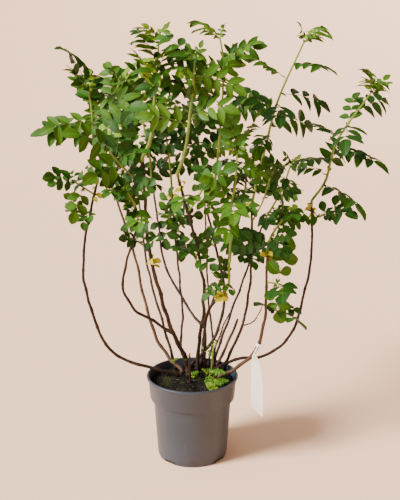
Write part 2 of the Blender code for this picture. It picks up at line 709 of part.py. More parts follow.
def build_pot(collection, cutters, material):
    """Thin-walled pot with a stepped-in body, a collar, a rolled lip and four drain slots."""
    step = POT_HEIGHT - POT_COLLAR_DEPTH
    under_lip = POT_RIM_RADIUS - RIM_LIP_WIDTH
    lip = POT_HEIGHT - RIM_LIP_HEIGHT
    round_off = POT_WALL / 2
    profile = (
        (0.0, POT_FLOOR),
        (POT_BASE_RADIUS - POT_WALL, POT_FLOOR),
        (POT_STEP_RADIUS - POT_WALL, step),
        (POT_COLLAR_RADIUS - POT_WALL, step + POT_WALL),
        (under_lip - POT_WALL, POT_HEIGHT - round_off),
        (under_lip - round_off, POT_HEIGHT),
        (POT_RIM_RADIUS - round_off, POT_HEIGHT),
        (POT_RIM_RADIUS, POT_HEIGHT - round_off),
        (POT_RIM_RADIUS, lip),
        (under_lip, lip - round_off),
        (POT_COLLAR_RADIUS, step),
        (POT_STEP_RADIUS, step - POT_WALL),
        (POT_BASE_RADIUS, round_off),
        (POT_BASE_RADIUS - round_off, 0.0),
        (0.0, 0.0),
    )
    pot = turned("pot", profile, collection)
    for index, bearing in enumerate(DRAIN_BEARINGS):
        angle = math.radians(bearing - 90.0)
        out = POT_BASE_RADIUS
        place = (math.cos(angle) * out, math.sin(angle) * out, 0.0)
        size = (DRAIN_REACH, DRAIN_WIDTH, DRAIN_HEIGHT * 2)
        cutter = box_cutter(f"drain_slot_{index + 1}", size, place, angle, cutters)
        slot = pot.modifiers.new(cutter.name, "BOOLEAN")
        slot.operation = "DIFFERENCE"
        slot.object = cutter
    pot.data.materials.append(material)
    return pot


def build_soil(collection, material):
    """Potting compost that fills the pot to its level, just clear of the wall and floor."""
    step = POT_HEIGHT - POT_COLLAR_DEPTH
    wall = POT_WALL + GAP
    top_radius = POT_COLLAR_RADIUS - wall
    profile = (
        (0.0, SOIL_LEVEL),
        (top_radius, SOIL_LEVEL),
        (top_radius, step + wall + 2 * GAP),
        (POT_STEP_RADIUS - wall, step + 2 * GAP),
        (POT_BASE_RADIUS - wall, POT_FLOOR + GAP),
        (0.0, POT_FLOOR + GAP),
    )
    soil = turned("soil", profile, collection)
    soil.data.materials.append(material)
    return soil


def build_canes(collection, material):
    canes = []
    for name, cane in CANES.items():
        path, radii = cane_route(name)
        if "split" in cane:
            cut = round((len(path) - 1) * cane["split"])
            joint, through, radius = path[cut], (path[cut + 1] - path[cut - 1]).normalized(), radii[cut]
            lower = ([*path[:cut], joint - through * JOINT_RUN, joint], [*radii[:cut], radius, radius])
            upper = ([joint + through * GAP, joint + through * JOINT_RUN, *path[cut + 1:]],
                     [radius, radius, *radii[cut + 1:]])
            for half, route in (("_lower", lower), ("_upper", upper)):
                canes.append(add_mesh_object(name + half, tube_mesh([route], CANE_SIDES), collection))
        else:
            mesh = tube_mesh([(path, radii)], CANE_SIDES)
            canes.append(add_mesh_object(name, mesh, collection))
    for cane in canes:
        cane.data.materials.append(material)
    return canes


def solid_box(name, frame, collection):
    shell = bmesh.new()
    bmesh.ops.create_cube(shell, size=1.0, matrix=frame)
    mesh = bpy.data.meshes.new(name)
    shell.to_mesh(mesh)
    shell.free()
    return add_mesh_object(name, mesh, collection)


def tag_ring(place, direction, hole, collection):
    """The loop that holds the tag round its cane."""
    turn = direction.to_track_quat("Z", "Y").to_matrix().to_4x4()
    turn.translation = place
    pieces = []
    for name, radius, depth in (("tag_loop", hole + TAG_LOOP_WALL, TAG_LOOP_HEIGHT),
                                ("tag_bore", hole, TAG_LOOP_HEIGHT * 2)):
        shell = bmesh.new()
        bmesh.ops.create_cone(shell, cap_ends=True, segments=TAG_LOOP_SIDES, radius1=radius,
                              radius2=radius, depth=depth, matrix=turn)
        mesh = bpy.data.meshes.new(name)
        shell.to_mesh(mesh)
        shell.free()
        pieces.append(add_mesh_object(name, mesh, collection))
    loop, bore = pieces
    cut = loop.modifiers.new("bore", "BOOLEAN")
    cut.operation = "DIFFERENCE"
    cut.object = bore
    bpy.context.view_layer.update()
    ring = add_mesh_object("tag_ring", evaluated_mesh(loop), collection)
    for piece in pieces:
        bpy.data.objects.remove(piece, do_unlink=True)
    return ring


def tag_strap(start, collection):
    """The flat strap from the loop to the blade, which it overlaps by its own width."""
    run = Vector(TAG_TOP) - start
    along = run.normalized()
    length = run.length + TAG_STRAP_WIDTH
    across = square_to(along, Vector((1.0, 0.0, 0.0)))
    sides = Matrix((across * TAG_STRAP_WIDTH, along * length, along.cross(across) * TAG_THICKNESS))
    frame = sides.transposed().to_4x4()
    frame.translation = start + along * length / 2
    return solid_box("tag_strap", frame, collection)


def tag_blade(collection):
    """The blank, upright blade that the strap carries."""
    flat = bpy.data.curves.new("tag_outline", "CURVE")
    flat.dimensions = "2D"
    flat.fill_mode = "BOTH"
    flat.extrude = TAG_THICKNESS / 2
    spline = flat.splines.new("POLY")
    spline.points.add(len(TAG_OUTLINE) - 1)
    for point, (x, y) in zip(spline.points, TAG_OUTLINE):
        point.co = (x, y, 0.0, 1.0)
    spline.use_cyclic_u = True
    blank = bpy.data.objects.new("tag_outline", flat)
    collection.objects.link(blank)
    blank.location = TAG_TOP
    blank.rotation_euler = (math.radians(90.0), 0.0, 0.0)
    bpy.context.view_layer.update()
    blade = add_mesh_object("tag_blade", evaluated_mesh(blank), collection)
    bpy.data.objects.remove(blank, do_unlink=True)
    bpy.data.curves.remove(flat)
    return blade


def build_tag(collection, material):
    """Bare plastic plant tag whose strap ends in a loop round its cane."""
    path, _ = cane_route("cane_tagged")
    place, direction = place_along(path, TAG_LOOP_AT)
    hole = cane_radius("cane_tagged", TAG_LOOP_AT) + 3 * GAP
    ring = tag_ring(place, direction, hole, collection)
    side = square_to(direction, Vector(TAG_TOP) - place)
    strap = tag_strap(place + side * (hole + TAG_LOOP_WALL / 2), collection)
    tag = fuse("plant_tag", [tag_blade(collection), strap, ring], collection, "EXACT")
    tag.data.materials.append(material)
    return tag


def build_shoots(collection, material, limbs):
    """Each shoot's stem and leaves fused into one mass that touches nothing else."""
    crowding = Crowding()
    for limb in limbs:
        crowding.add(limb.name, limb.data)
    stems = {}
    for name, shoot in SHOOTS.items():
        path = shoot_path(shoot)
        route = (path, taper(path, shoot_radius(shoot), SHOOT_TIP_RADIUS))
        mesh = tube_mesh([route], SHOOT_SIDES)
        crowding.add(name, mesh)
        stems[name] = (add_mesh_object(name + "_stem", mesh, collection), path)
    for name, shoot in SHOOTS.items():
        stem, path = stems[name]
        pieces = [stem]
        pairs = shoot["pairs"]
        for index, leaf in enumerate(grow_leaves(shoot, path, shoot["seed"])):
            space = leaf_mesh("leaf_space", leaf, shoot["shape"], pairs, LEAF_CLEARANCE)
            if crowding.is_clear(name, space):
                mesh = leaf_mesh(f"{name}_leaf_{index}", leaf, shoot["shape"], pairs)
                crowding.add(mesh.name, mesh)
                pieces.append(add_mesh_object(mesh.name, mesh, collection))
            bpy.data.meshes.remove(space)
        mass = fuse(name, pieces, collection, "MANIFOLD")
        mass.data.materials.append(material)


def main():
    clear_scene()
    bush = bpy.data.collections.new("potted_rose_bush")
    cutters = bpy.data.collections.new("cutters")
    for collection in (bush, cutters):
        bpy.context.scene.collection.children.link(collection)
    build_pot(bush, cutters, make_material("grey_pot_plastic", (0.16, 0.155, 0.15), 0.5))
    build_soil(bush, make_material("dark_compost", (0.035, 0.027, 0.02), 0.95))
    limbs = build_canes(bush, make_material("brown_bark", (0.11, 0.055, 0.04), 0.65))
    limbs.append(build_tag(bush, make_material("white_tag_plastic", (0.85, 0.85, 0.83), 0.4)))
    build_shoots(bush, make_material("rose_leaf_green", (0.08, 0.2, 0.03), 0.5), limbs)


if __name__ == "__main__":
    main()
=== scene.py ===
import math
import random

import bmesh
import bpy
from mathutils import Matrix, Vector, noise


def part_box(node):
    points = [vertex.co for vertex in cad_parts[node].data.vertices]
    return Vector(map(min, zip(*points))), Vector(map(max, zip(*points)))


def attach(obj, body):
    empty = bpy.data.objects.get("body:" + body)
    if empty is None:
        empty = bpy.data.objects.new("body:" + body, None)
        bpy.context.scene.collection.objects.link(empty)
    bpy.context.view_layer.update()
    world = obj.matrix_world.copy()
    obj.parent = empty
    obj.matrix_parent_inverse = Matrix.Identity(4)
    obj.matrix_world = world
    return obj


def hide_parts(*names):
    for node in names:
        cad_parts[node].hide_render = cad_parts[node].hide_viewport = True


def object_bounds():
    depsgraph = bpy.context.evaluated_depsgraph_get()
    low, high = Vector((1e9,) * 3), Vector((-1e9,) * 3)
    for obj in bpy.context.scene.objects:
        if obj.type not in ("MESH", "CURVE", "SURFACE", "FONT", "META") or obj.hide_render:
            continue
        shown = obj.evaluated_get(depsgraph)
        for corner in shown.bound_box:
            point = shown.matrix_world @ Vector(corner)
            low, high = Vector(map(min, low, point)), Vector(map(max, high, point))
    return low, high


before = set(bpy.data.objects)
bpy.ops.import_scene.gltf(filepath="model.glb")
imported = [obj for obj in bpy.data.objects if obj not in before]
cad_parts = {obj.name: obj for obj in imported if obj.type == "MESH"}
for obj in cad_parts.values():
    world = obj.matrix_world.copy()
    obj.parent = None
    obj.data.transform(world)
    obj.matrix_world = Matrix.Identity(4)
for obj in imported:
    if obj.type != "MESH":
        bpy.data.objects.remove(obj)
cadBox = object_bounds()
up = Vector((0, 0, 1))
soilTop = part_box("soil")[1][2]
print("frame loaded")


class Value:  # a socket that Python's own signs work on
    def __init__(self, finish, socket):
        self.finish = finish
        self.socket = socket

    def __add__(self, other):
        return self.finish.maths("ADD", self, other)

    def __radd__(self, other):
        return self.finish.maths("ADD", other, self)

    def __sub__(self, other):
        return self.finish.maths("SUBTRACT", self, other)

    def __rsub__(self, other):
        return self.finish.maths("SUBTRACT", other, self)

    def __mul__(self, other):
        return self.finish.maths("MULTIPLY", self, other)

    def __rmul__(self, other):
        return self.finish.maths("MULTIPLY", other, self)


class Finish:  # a material under construction
    def __init__(self, name, **fixed):
        self.material = bpy.data.materials.new(name)
        self.material.use_nodes = True
        self.tree = self.material.node_tree
        self.shader = self.tree.nodes["Principled BSDF"]
        for socket, value in fixed.items():
            self.shader.inputs[socket.replace("_", " ")].default_value = value

    def node(self, kind, settings=None, sockets=None, out=0):
        made = self.tree.nodes.new(kind)
        for name, value in (settings or {}).items():
            setattr(made, name, value)
        for name, value in (sockets or {}).items():
            self.join(made.inputs[name], value)
        return Value(self, made.outputs[out])

    def join(self, socket, value):
        if isinstance(value, Value):
            self.tree.links.new(value.socket, socket)
        else:
            socket.default_value = value

    def maths(self, operation, first, second):
        return self.node("ShaderNodeMath", {"operation": operation}, {0: first, 1: second})

    def between(self, value, low, high, start=0, end=1):
        sockets = {"Value": value, "From Min": low, "From Max": high, "To Min": start, "To Max": end}
        return self.node("ShaderNodeMapRange", {}, sockets)

    def blend(self, factor, first, second):
        return self.node("ShaderNodeMix", {"data_type": "RGBA"}, {0: factor, 6: first, 7: second}, 2)

    def place(self, stretch=(1, 1, 1)):
        spot = self.node("ShaderNodeTexCoord", {}, {}, "Object")
        return self.node("ShaderNodeMapping", {}, {"Vector": spot, "Scale": stretch})

    def speckle(self, scale, detail=3, stretch=(1, 1, 1), rough=0.5):
        sockets = {"Vector": self.place(stretch), "Scale": scale, "Detail": detail, "Roughness": rough}
        return self.node("ShaderNodeTexNoise", {}, sockets)

    def relief(self, height, strength, distance):
        sockets = {"Height": height, "Strength": strength, "Distance": distance}
        self.feed("Normal", self.node("ShaderNodeBump", {}, sockets))

    def feed(self, socket, value):
        self.join(self.shader.inputs[socket], value)


def tint(red, green, blue):  # screen colour, 0 to 255, as a linear one
    shares = [part / 255 for part in (red, green, blue)]
    linear = [part / 12.92 if part < 0.04045 else ((part + 0.055) / 1.055) ** 2.4 for part in shares]
    return (*linear, 1)


# the camera stands in front of the bush and looks down on the pot
cameraView = {"place": (0.016, -1.679, 0.886), "tilt": 75.25, "lens": 62.35}


def makeCamera():
    lens = bpy.data.cameras.new("camera")
    lens.lens = cameraView["lens"]
    lens.sensor_width = 36
    camera = bpy.data.objects.new("camera", lens)
    camera.location = cameraView["place"]
    camera.rotation_euler = (math.radians(cameraView["tilt"]), 0, 0)
    bpy.context.scene.collection.objects.link(camera)
    bpy.context.scene.camera = camera
    print("camera set")


def finishPiece(name, shell, finish, nodes):  # a bmesh made into a piece of the bush
    mesh = bpy.data.meshes.new(name)
    shell.to_mesh(mesh)
    shell.free()
    mesh.polygons.foreach_set("use_smooth", [True] * len(mesh.polygons))
    mesh.materials.append(finish)
    piece = bpy.data.objects.new(name, mesh)
    bpy.context.scene.collection.objects.link(piece)
    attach(piece, "root")
    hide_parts(*nodes)
    return piece


# canes: where each one stands on the compost or forks, its bends, its tip and its two radii
canes = {
    "cane_far_left": dict(
        foot=(-0.032, 0.012), bends=((-0.09, 0.004, 0.19), (-0.158, -0.005, 0.222),
                                     (-0.197, -0.015, 0.298), (-0.216, -0.02, 0.425)),
        tip=(-0.183, -0.03, 0.584), radii=(0.0032, 0.0021)),
    "cane_back_left": dict(
        foot=(-0.022, 0.032), bends=((-0.055, 0.06, 0.197), (-0.088, 0.082, 0.255), (-0.126, 0.12, 0.403)),
        tip=(-0.169, 0.135, 0.545), radii=(0.0035, 0.002)),
    "cane_thick": dict(
        foot=(-0.009, 0.013), bends=((-0.015, 0.008, 0.208), (-0.05, -0.035, 0.315), (-0.079, -0.08, 0.46)),
        tip=(-0.089, -0.1, 0.639), radii=(0.0042, 0.0026)),
    "cane_front_left": dict(
        fork=("cane_thick", 0.235), bends=((-0.075, -0.032, 0.303), (-0.115, -0.068, 0.347),
                                           (-0.131, -0.092, 0.405)),
        tip=(-0.1, -0.12, 0.529), radii=(0.0029, 0.0019)),
    "cane_back_inner": dict(
        foot=(-0.01, 0.042), bends=((-0.026, 0.062, 0.215), (-0.022, 0.11, 0.271), (-0.04, 0.18, 0.44)),
        tip=(-0.046, 0.2, 0.53), radii=(0.0027, 0.0018)),
    "cane_front_middle": dict(
        foot=(0.011, 0.046), bends=((0.014, 0.026, 0.235), (0.024, -0.04, 0.341), (0.016, -0.095, 0.45)),
        tip=(-0.023, -0.15, 0.618), radii=(0.0036, 0.0022)),
    "cane_crossing": dict(
        fork=("cane_front_middle", 0.265), bends=((-0.01, 0.033, 0.314), (-0.059, 0.09, 0.393),
                                                 (-0.075, 0.125, 0.5)),
        tip=(-0.086, 0.14, 0.55), radii=(0.0026, 0.0018)),
    "cane_front_right": dict(
        foot=(0.026, 0.05), bends=((0.026, 0.03, 0.252), (0.034, -0.004, 0.318), (0.068, -0.06, 0.384)),
        tip=(0.074, -0.12, 0.496), radii=(0.0031, 0.002)),
    "cane_kinked": dict(
        foot=(-0.002, 0.066), bends=((0.032, 0.062, 0.212), (0.055, 0.066, 0.256), (0.068, 0.092, 0.33)),
        tip=(0.033, 0.15, 0.483), radii=(0.0033, 0.0021)),
    "cane_thin_back": dict(
        foot=(0.034, 0.072), bends=((0.043, 0.102, 0.213), (0.034, 0.16, 0.312)),
        tip=(0.027, 0.22, 0.49), radii=(0.0023, 0.0016)),
    "cane_right": dict(
        foot=(0.066, 0.052), bends=((0.09, 0.061, 0.221), (0.105, 0.064, 0.262), (0.122, 0.055, 0.37)),
        tip=(0.12, 0.03, 0.526), radii=(0.0029, 0.002)),
    "cane_tagged": dict(
        foot=(0.056, 0.0), bends=((0.092, -0.004, 0.193), (0.13, -0.03, 0.243), (0.145, -0.056, 0.33)),
        tip=(0.146, -0.07, 0.458), radii=(0.0037, 0.0021)),
    "cane_far_right": dict(
        foot=(0.046, 0.036), bends=((0.088, 0.041, 0.19), (0.166, 0.048, 0.205), (0.216, 0.037, 0.27),
                                    (0.241, 0.02, 0.42)),
        tip=(0.238, 0.01, 0.536), radii=(0.0031, 0.002)),
    "cane_rear_left": dict(
        foot=(-0.036, 0.052), bends=((-0.06, 0.1, 0.24), (-0.1, 0.17, 0.36)),
        tip=(-0.12, 0.225, 0.49), radii=(0.0029, 0.0019)),
    "cane_rear_right": dict(
        foot=(0.02, 0.078), bends=((0.03, 0.1, 0.262), (0.074, 0.152, 0.37)),
        tip=(0.108, 0.225, 0.47), radii=(0.0029, 0.0019)),
    "cane_side_right": dict(
        foot=(0.045, 0.066), bends=((0.075, 0.11, 0.25), (0.112, 0.145, 0.34)),
        tip=(0.152, 0.155, 0.46), radii=(0.0027, 0.0018)),
    "cane_thin_twig": dict(
        fork=("cane_right", 0.28), bends=((0.132, 0.04, 0.282),),
        tip=(0.145, 0.0, 0.331), radii=(0.0013, 0.0009)),
    "cane_thin_front": dict(
        foot=(0.047, 0.052), bends=((0.049, 0.044, 0.224),),
        tip=(0.077, 0.022, 0.303), radii=(0.002, 0.0012)),
    "stub_back_right": dict(
        foot=(0.053, 0.061), bends=((0.078, 0.096, 0.212),),
        tip=(0.099, 0.13, 0.252), radii=(0.003, 0.0023)),
    "stub_front": dict(
        foot=(-0.004, -0.02), bends=((-0.006, -0.024, 0.195),),
        tip=(-0.005, -0.022, 0.232), radii=(0.0023, 0.0016)),
}

# shoots: the cane that carries each one and how far up it, or its foot on the compost, the bends of its
# stem, how many leaves it has and how long they are, how broad its leaflets are, its pairs of them,
# and the count and seed of the smaller leaves that fill it
shoots = {
    "shoot_far_left": dict(
        cane="cane_far_left", at=1,
        bends=((-0.186, -0.035, 0.65), (-0.187, -0.04, 0.723), (-0.192, -0.045, 0.764)),
        leaves=6, bare=0.3, leaf=0.118, shape=0.5, pairs=2, seed=949, fill=(8, 5056)),
    "spur_far_left": dict(
        cane="cane_far_left", at=0.96, bends=((-0.222, -0.055, 0.592),),
        leaves=3, bare=0.5, leaf=0.08, shape=0.7, pairs=1, seed=500, fill=(3, 5036)),
    "spur_far_left_low": dict(
        cane="cane_far_left", at=0.86, bends=((-0.215, -0.045, 0.53),),
        leaves=3, bare=0.5, leaf=0.055, shape=0.74, pairs=1, seed=234, fill=(2, 5047)),
    "shoot_back_left": dict(
        cane="cane_back_left", at=1,
        bends=((-0.179, 0.11, 0.613), (-0.17, 0.08, 0.695), (-0.141, 0.03, 0.773)),
        leaves=4, bare=0.4, leaf=0.1, shape=0.56, pairs=2, seed=1177, fill=(8, 5335)),
    "spur_back_left": dict(
        cane="cane_back_left", at=0.93, bends=((-0.15, 0.17, 0.565), (-0.145, 0.19, 0.61)),
        leaves=3, bare=0.5, leaf=0.085, shape=0.62, pairs=1, seed=200, fill=(3, 5411)),
    "shoot_front_left": dict(
        cane="cane_front_left", at=1, bends=((-0.102, -0.14, 0.565), (-0.115, -0.15, 0.591)),
        leaves=4, bare=0.2, leaf=0.075, shape=0.7, pairs=2, seed=143, fill=(6, 5004)),
    "shoot_tall_left": dict(
        cane="cane_thick", at=1,
        bends=((-0.073, -0.1, 0.684), (-0.065, -0.09, 0.767), (-0.058, -0.08, 0.851)),
        leaves=8, bare=0.55, leaf=0.11, shape=0.46, pairs=2, seed=1272, fill=(8, 5485)),
    "spur_thick": dict(
        cane="cane_thick", at=0.92, bends=((-0.12, -0.135, 0.63), (-0.145, -0.15, 0.665)),
        leaves=4, bare=0.5, leaf=0.085, shape=0.62, pairs=1, seed=27, fill=(3, 5274)),
    "spur_thick_low": dict(
        cane="cane_thick", at=0.66, bends=((-0.1, -0.105, 0.488),),
        leaves=3, bare=0.5, leaf=0.065, shape=0.72, pairs=1, seed=103, fill=(2, 5181)),
    "shoot_crossing": dict(
        cane="cane_crossing", at=1,
        bends=((-0.09, 0.15, 0.602), (-0.101, 0.16, 0.661), (-0.11, 0.16, 0.711)),
        leaves=4, bare=0.25, leaf=0.1, shape=0.56, pairs=2, seed=296, fill=(8, 5002)),
    "spur_crossing": dict(
        cane="cane_crossing", at=0.82, bends=((-0.045, 0.11, 0.49),),
        leaves=3, bare=0.5, leaf=0.07, shape=0.7, pairs=1, seed=230, fill=(3, 5375)),
    "shoot_back_inner": dict(
        cane="cane_back_inner", at=1,
        bends=((-0.05, 0.21, 0.582), (-0.058, 0.22, 0.647), (-0.06, 0.22, 0.705)),
        leaves=4, bare=0.25, leaf=0.1, shape=0.56, pairs=2, seed=0, fill=(8, 5481)),
    "spur_back_inner": dict(
        cane="cane_back_inner", at=0.78, bends=((-0.03, 0.16, 0.455),),
        leaves=3, bare=0.5, leaf=0.07, shape=0.7, pairs=1, seed=80, fill=(3, 5086)),
    "shoot_front_middle": dict(
        cane="cane_front_middle", at=1,
        bends=((-0.01, -0.155, 0.667), (-0.001, -0.15, 0.735), (0.007, -0.13, 0.818)),
        leaves=6, bare=0.4, leaf=0.11, shape=0.46, pairs=2, seed=930, fill=(8, 5012)),
    "spur_front_middle": dict(
        cane="cane_front_middle", at=0.86, bends=((0.01, -0.151, 0.576), (0.021, -0.165, 0.6)),
        leaves=3, bare=0.5, leaf=0.075, shape=0.66, pairs=1, seed=150, fill=(2, 5120)),
    "spur_front_middle_low": dict(
        cane="cane_front_middle", at=0.62, bends=((0.0, -0.115, 0.47),),
        leaves=3, bare=0.5, leaf=0.065, shape=0.7, pairs=1, seed=192, fill=(2, 5320)),
    "shoot_front_right": dict(
        cane="cane_front_right", at=1,
        bends=((0.071, -0.14, 0.547), (0.079, -0.15, 0.607), (0.082, -0.15, 0.66)),
        leaves=4, bare=0.25, leaf=0.09, shape=0.56, pairs=2, seed=252, fill=(8, 5127)),
    "spur_front_right": dict(
        cane="cane_front_right", at=0.68, bends=((0.055, -0.075, 0.4),),
        leaves=3, bare=0.5, leaf=0.06, shape=0.7, pairs=1, seed=16, fill=(3, 5037)),
    "shoot_kinked": dict(
        cane="cane_kinked", at=1,
        bends=((0.048, 0.14, 0.561), (0.059, 0.12, 0.686), (0.063, 0.09, 0.8), (0.055, 0.08, 0.858)),
        leaves=8, bare=0.5, leaf=0.11, shape=0.46, pairs=2, seed=1047, fill=(8, 5240)),
    "spur_kinked": dict(
        cane="cane_kinked", at=0.8, bends=((0.03, 0.105, 0.44),),
        leaves=3, bare=0.5, leaf=0.065, shape=0.7, pairs=1, seed=34, fill=(3, 5101)),
    "shoot_thin_back": dict(
        cane="cane_thin_back", at=1,
        bends=((0.025, 0.235, 0.555), (0.014, 0.25, 0.62), (0.007, 0.255, 0.68)),
        leaves=4, bare=0.25, leaf=0.095, shape=0.56, pairs=2, seed=3, fill=(8, 5448)),
    "shoot_right": dict(
        cane="cane_right", at=1, bends=((0.141, 0.0, 0.641), (0.164, -0.02, 0.743), (0.209, -0.04, 0.854)),
        leaves=8, bare=0.4, leaf=0.11, shape=0.48, pairs=2, seed=745, fill=(2, 5020)),
    "spur_right_upper": dict(
        cane="cane_right", at=0.92, bends=((0.138, -0.03, 0.55), (0.15, -0.05, 0.6)),
        leaves=4, bare=0.5, leaf=0.095, shape=0.52, pairs=1, seed=8, fill=(2, 5101)),
    "spur_right": dict(
        cane="cane_right", at=0.7, bends=((0.11, 0.01, 0.44),),
        leaves=3, bare=0.5, leaf=0.075, shape=0.62, pairs=1, seed=139, fill=(3, 5199)),
    "shoot_tagged": dict(
        cane="cane_tagged", at=1, bends=((0.153, -0.08, 0.495), (0.174, -0.09, 0.53)),
        leaves=4, bare=0.15, leaf=0.08, shape=0.72, pairs=2, seed=281, fill=(4, 5112)),
    "spur_tagged": dict(
        cane="cane_tagged", at=0.82, bends=((0.17, -0.09, 0.4),),
        leaves=3, bare=0.5, leaf=0.085, shape=0.78, pairs=1, seed=230),
    "spur_tagged_low": dict(
        cane="cane_tagged", at=0.66, bends=((0.165, -0.085, 0.345),),
        leaves=3, bare=0.5, leaf=0.08, shape=0.74, pairs=1, seed=330),
    "shoot_far_right": dict(
        cane="cane_far_right", at=1,
        bends=((0.263, 0.0, 0.586), (0.28, -0.015, 0.665), (0.337, -0.04, 0.761)),
        leaves=8, bare=0.12, leaf=0.115, shape=0.5, pairs=2, seed=733, fill=(4, 5090)),
    "spur_far_right": dict(
        cane="cane_far_right", at=0.93, bends=((0.255, -0.02, 0.52),),
        leaves=3, bare=0.5, leaf=0.085, shape=0.62, pairs=1, seed=1055, fill=(1, 5413)),
    "shoot_rear_left": dict(
        cane="cane_rear_left", at=1, bends=((-0.13, 0.25, 0.57), (-0.14, 0.255, 0.64)),
        leaves=4, bare=0.2, leaf=0.09, shape=0.56, pairs=2, seed=205, fill=(8, 5021)),
    "shoot_rear_right": dict(
        cane="cane_rear_right", at=1, bends=((0.12, 0.24, 0.55), (0.115, 0.25, 0.63)),
        leaves=4, bare=0.2, leaf=0.09, shape=0.56, pairs=2, seed=14, fill=(8, 5476)),
    "shoot_side_right": dict(
        cane="cane_side_right", at=1, bends=((0.19, 0.15, 0.535), (0.208, 0.145, 0.59)),
        leaves=4, bare=0.2, leaf=0.085, shape=0.6, pairs=2, seed=167, fill=(6, 5389)),
    "sprout_front": dict(
        foot=(0.034, -0.014), bends=((0.037, -0.02, 0.184), (0.043, -0.03, 0.196)),
        leaves=4, bare=0.35, leaf=0.036, shape=0.62, pairs=1, seed=21),
    "sprout_thin": dict(
        foot=(0.04, 0.024), bends=((0.042, 0.022, 0.2), (0.044, 0.018, 0.228)),
        leaves=3, bare=0.6, leaf=0.026, shape=0.62, pairs=1, seed=238),
}

# bark: the steps of a cane, its swollen foot and joints, its lumps and crooks, its prickles,
# which canes are pale and where one turns green
caneLook = {
    "seed": 7, "crookSeed": 3, "step": 0.005, "bendStep": 0.045, "sides": 10,
    "footRise": 0.007, "footSwell": 0.28, "lump": 0.0006, "lumpScale": 260,
    "thicken": 1.14, "crook": 0.0032, "crookScale": 27, "crookFade": 6, "joint": 0.042,
    "jointSwell": 0.2, "jointWide": 0.07, "swellRun": 0.012,
    "prickles": 70, "prickleLong": (0.0014, 0.0032),
    "pale": ("cane_back_left", "cane_tagged", "stub_back_right"), "greenFrom": {"cane_front_right": 0.58},
}
# green stems: their steps, how they taper towards the tip, the leaves round a bud and the prickles
stemLook = {
    "step": 0.008, "leafStep": 0.06, "sides": 8, "sunk": 0.001, "spurRadius": 0.0018, "tipRadius": 0.0016,
    "taper": 1.6, "thicken": 1.22, "prickleShare": 0.5, "prickleLong": (0.001, 0.0019),
    "budLeaves": 3, "budTurn": 2.2, "budSize": (0.3, 0.48), "budBroad": 1.15, "budFresh": 0.7,
}
# one prickle, in shares of its length
thorn = {"sides": 5, "foot": 0.42, "point": 0.04, "sunk": 0.3, "hook": 0.5}


def turnedOut(ahead, angle):  # a unit direction square to ahead, turned about it
    return Matrix.Rotation(angle, 3, ahead) @ ahead.orthogonal().normalized()


def smoothPath(points, step):  # points about a step apart on a smooth curve through the given ones
    points = [Vector(point) for point in points]
    if len(points) == 2:
        count = max(1, round((points[1] - points[0]).length / step))
        return [points[0].lerp(points[1], index / count) for index in range(count + 1)]
    path = []
    for index in range(len(points) - 1):
        start, end = points[index], points[index + 1]
        before = points[index - 1] if index else start * 2 - end
        after = points[index + 2] if index + 2 < len(points) else end * 2 - start
        count = max(1, round((end - start).length / step))
        for part in range(count):
            t = part / count
            path.append(0.5 * (2 * start + (end - before) * t
                               + (2 * before - 5 * start + 4 * end - after) * t * t
                               + (3 * start - before - 3 * end + after) * t ** 3))
    return [*path, points[-1]]


def placeAlong(path, fraction):
    lengths = [(b - a).length for a, b in zip(path, path[1:])]
    left = sum(lengths) * fraction
    for start, end, length in zip(path, path[1:], lengths):
        if left <= length:
            return start.lerp(end, left / length), (end - start).normalized()
        left -= length
    return path[-1].copy(), (path[-1] - path[-2]).normalized()


def squareTo(direction, guide):
    side = guide - direction * guide.dot(direction)
    return side.normalized() if side.length > 0.000001 else direction.orthogonal().normalized()


def caneRadius(name, fraction):
    foot, tip = canes[name]["radii"]
    return (foot + (tip - foot) * fraction) * caneLook["thicken"]


def kinked(path):  # small crooks along a cane, none at its ends
    last = len(path) - 1
    bends = []
    for index, place in enumerate(path):
        fade = min(1, index / caneLook["crookFade"], (last - index) / caneLook["crookFade"])
        crook = noise.noise_vector(place * caneLook["crookScale"]) * caneLook["crook"]
        bends.append(place + crook * fade)
    return bends


def canePath(name, step=caneLook["step"]):
    cane = canes[name]
    if "foot" in cane:
        foot = Vector((*cane["foot"], soilTop))
        rising = smoothPath([foot + up * caneLook["footRise"], *cane["bends"], cane["tip"]], step)
        return [foot, *kinked(rising)]
    carrier, fraction = cane["fork"]
    start = placeAlong(canePath(carrier), fraction)[0]
    return kinked(smoothPath([start, *cane["bends"], cane["tip"]], step))


def shootPath(shoot):  # a shoot grows out of the soil, a cane's tip or its side
    step = stemLook["step"]
    if "foot" in shoot:
        foot = Vector((*shoot["foot"], soilTop))
        return [foot, *smoothPath([foot + up * caneLook["footRise"], *shoot["bends"]], step)]
    route = canePath(shoot["cane"])
    if shoot["at"] >= 1:
        tip, direction = placeAlong(route, 1)
        lead = tip + direction * caneLook["footRise"]
        return [tip - direction * stemLook["sunk"], *smoothPath([lead, *shoot["bends"]], step)]
    start, direction = placeAlong(route, shoot["at"])
    side = squareTo(direction, Vector(shoot["bends"][0]) - start)
    return smoothPath([start + side * caneRadius(shoot["cane"], shoot["at"]), *shoot["bends"]], step)


def frames(path):  # a frame for each point of a path, none of them twisted against the one before
    ahead = (path[1] - path[0]).normalized()
    across = ahead.orthogonal().normalized()
    made = []
    for index, point in enumerate(path):
        before, after = path[max(index - 1, 0)], path[min(index + 1, len(path) - 1)]
        ahead = (after - before).normalized()
        across = squareTo(ahead, across)
        turned = Matrix((across, ahead.cross(across), ahead)).transposed().to_4x4()
        turned.translation = point
        made.append(turned)
    return made


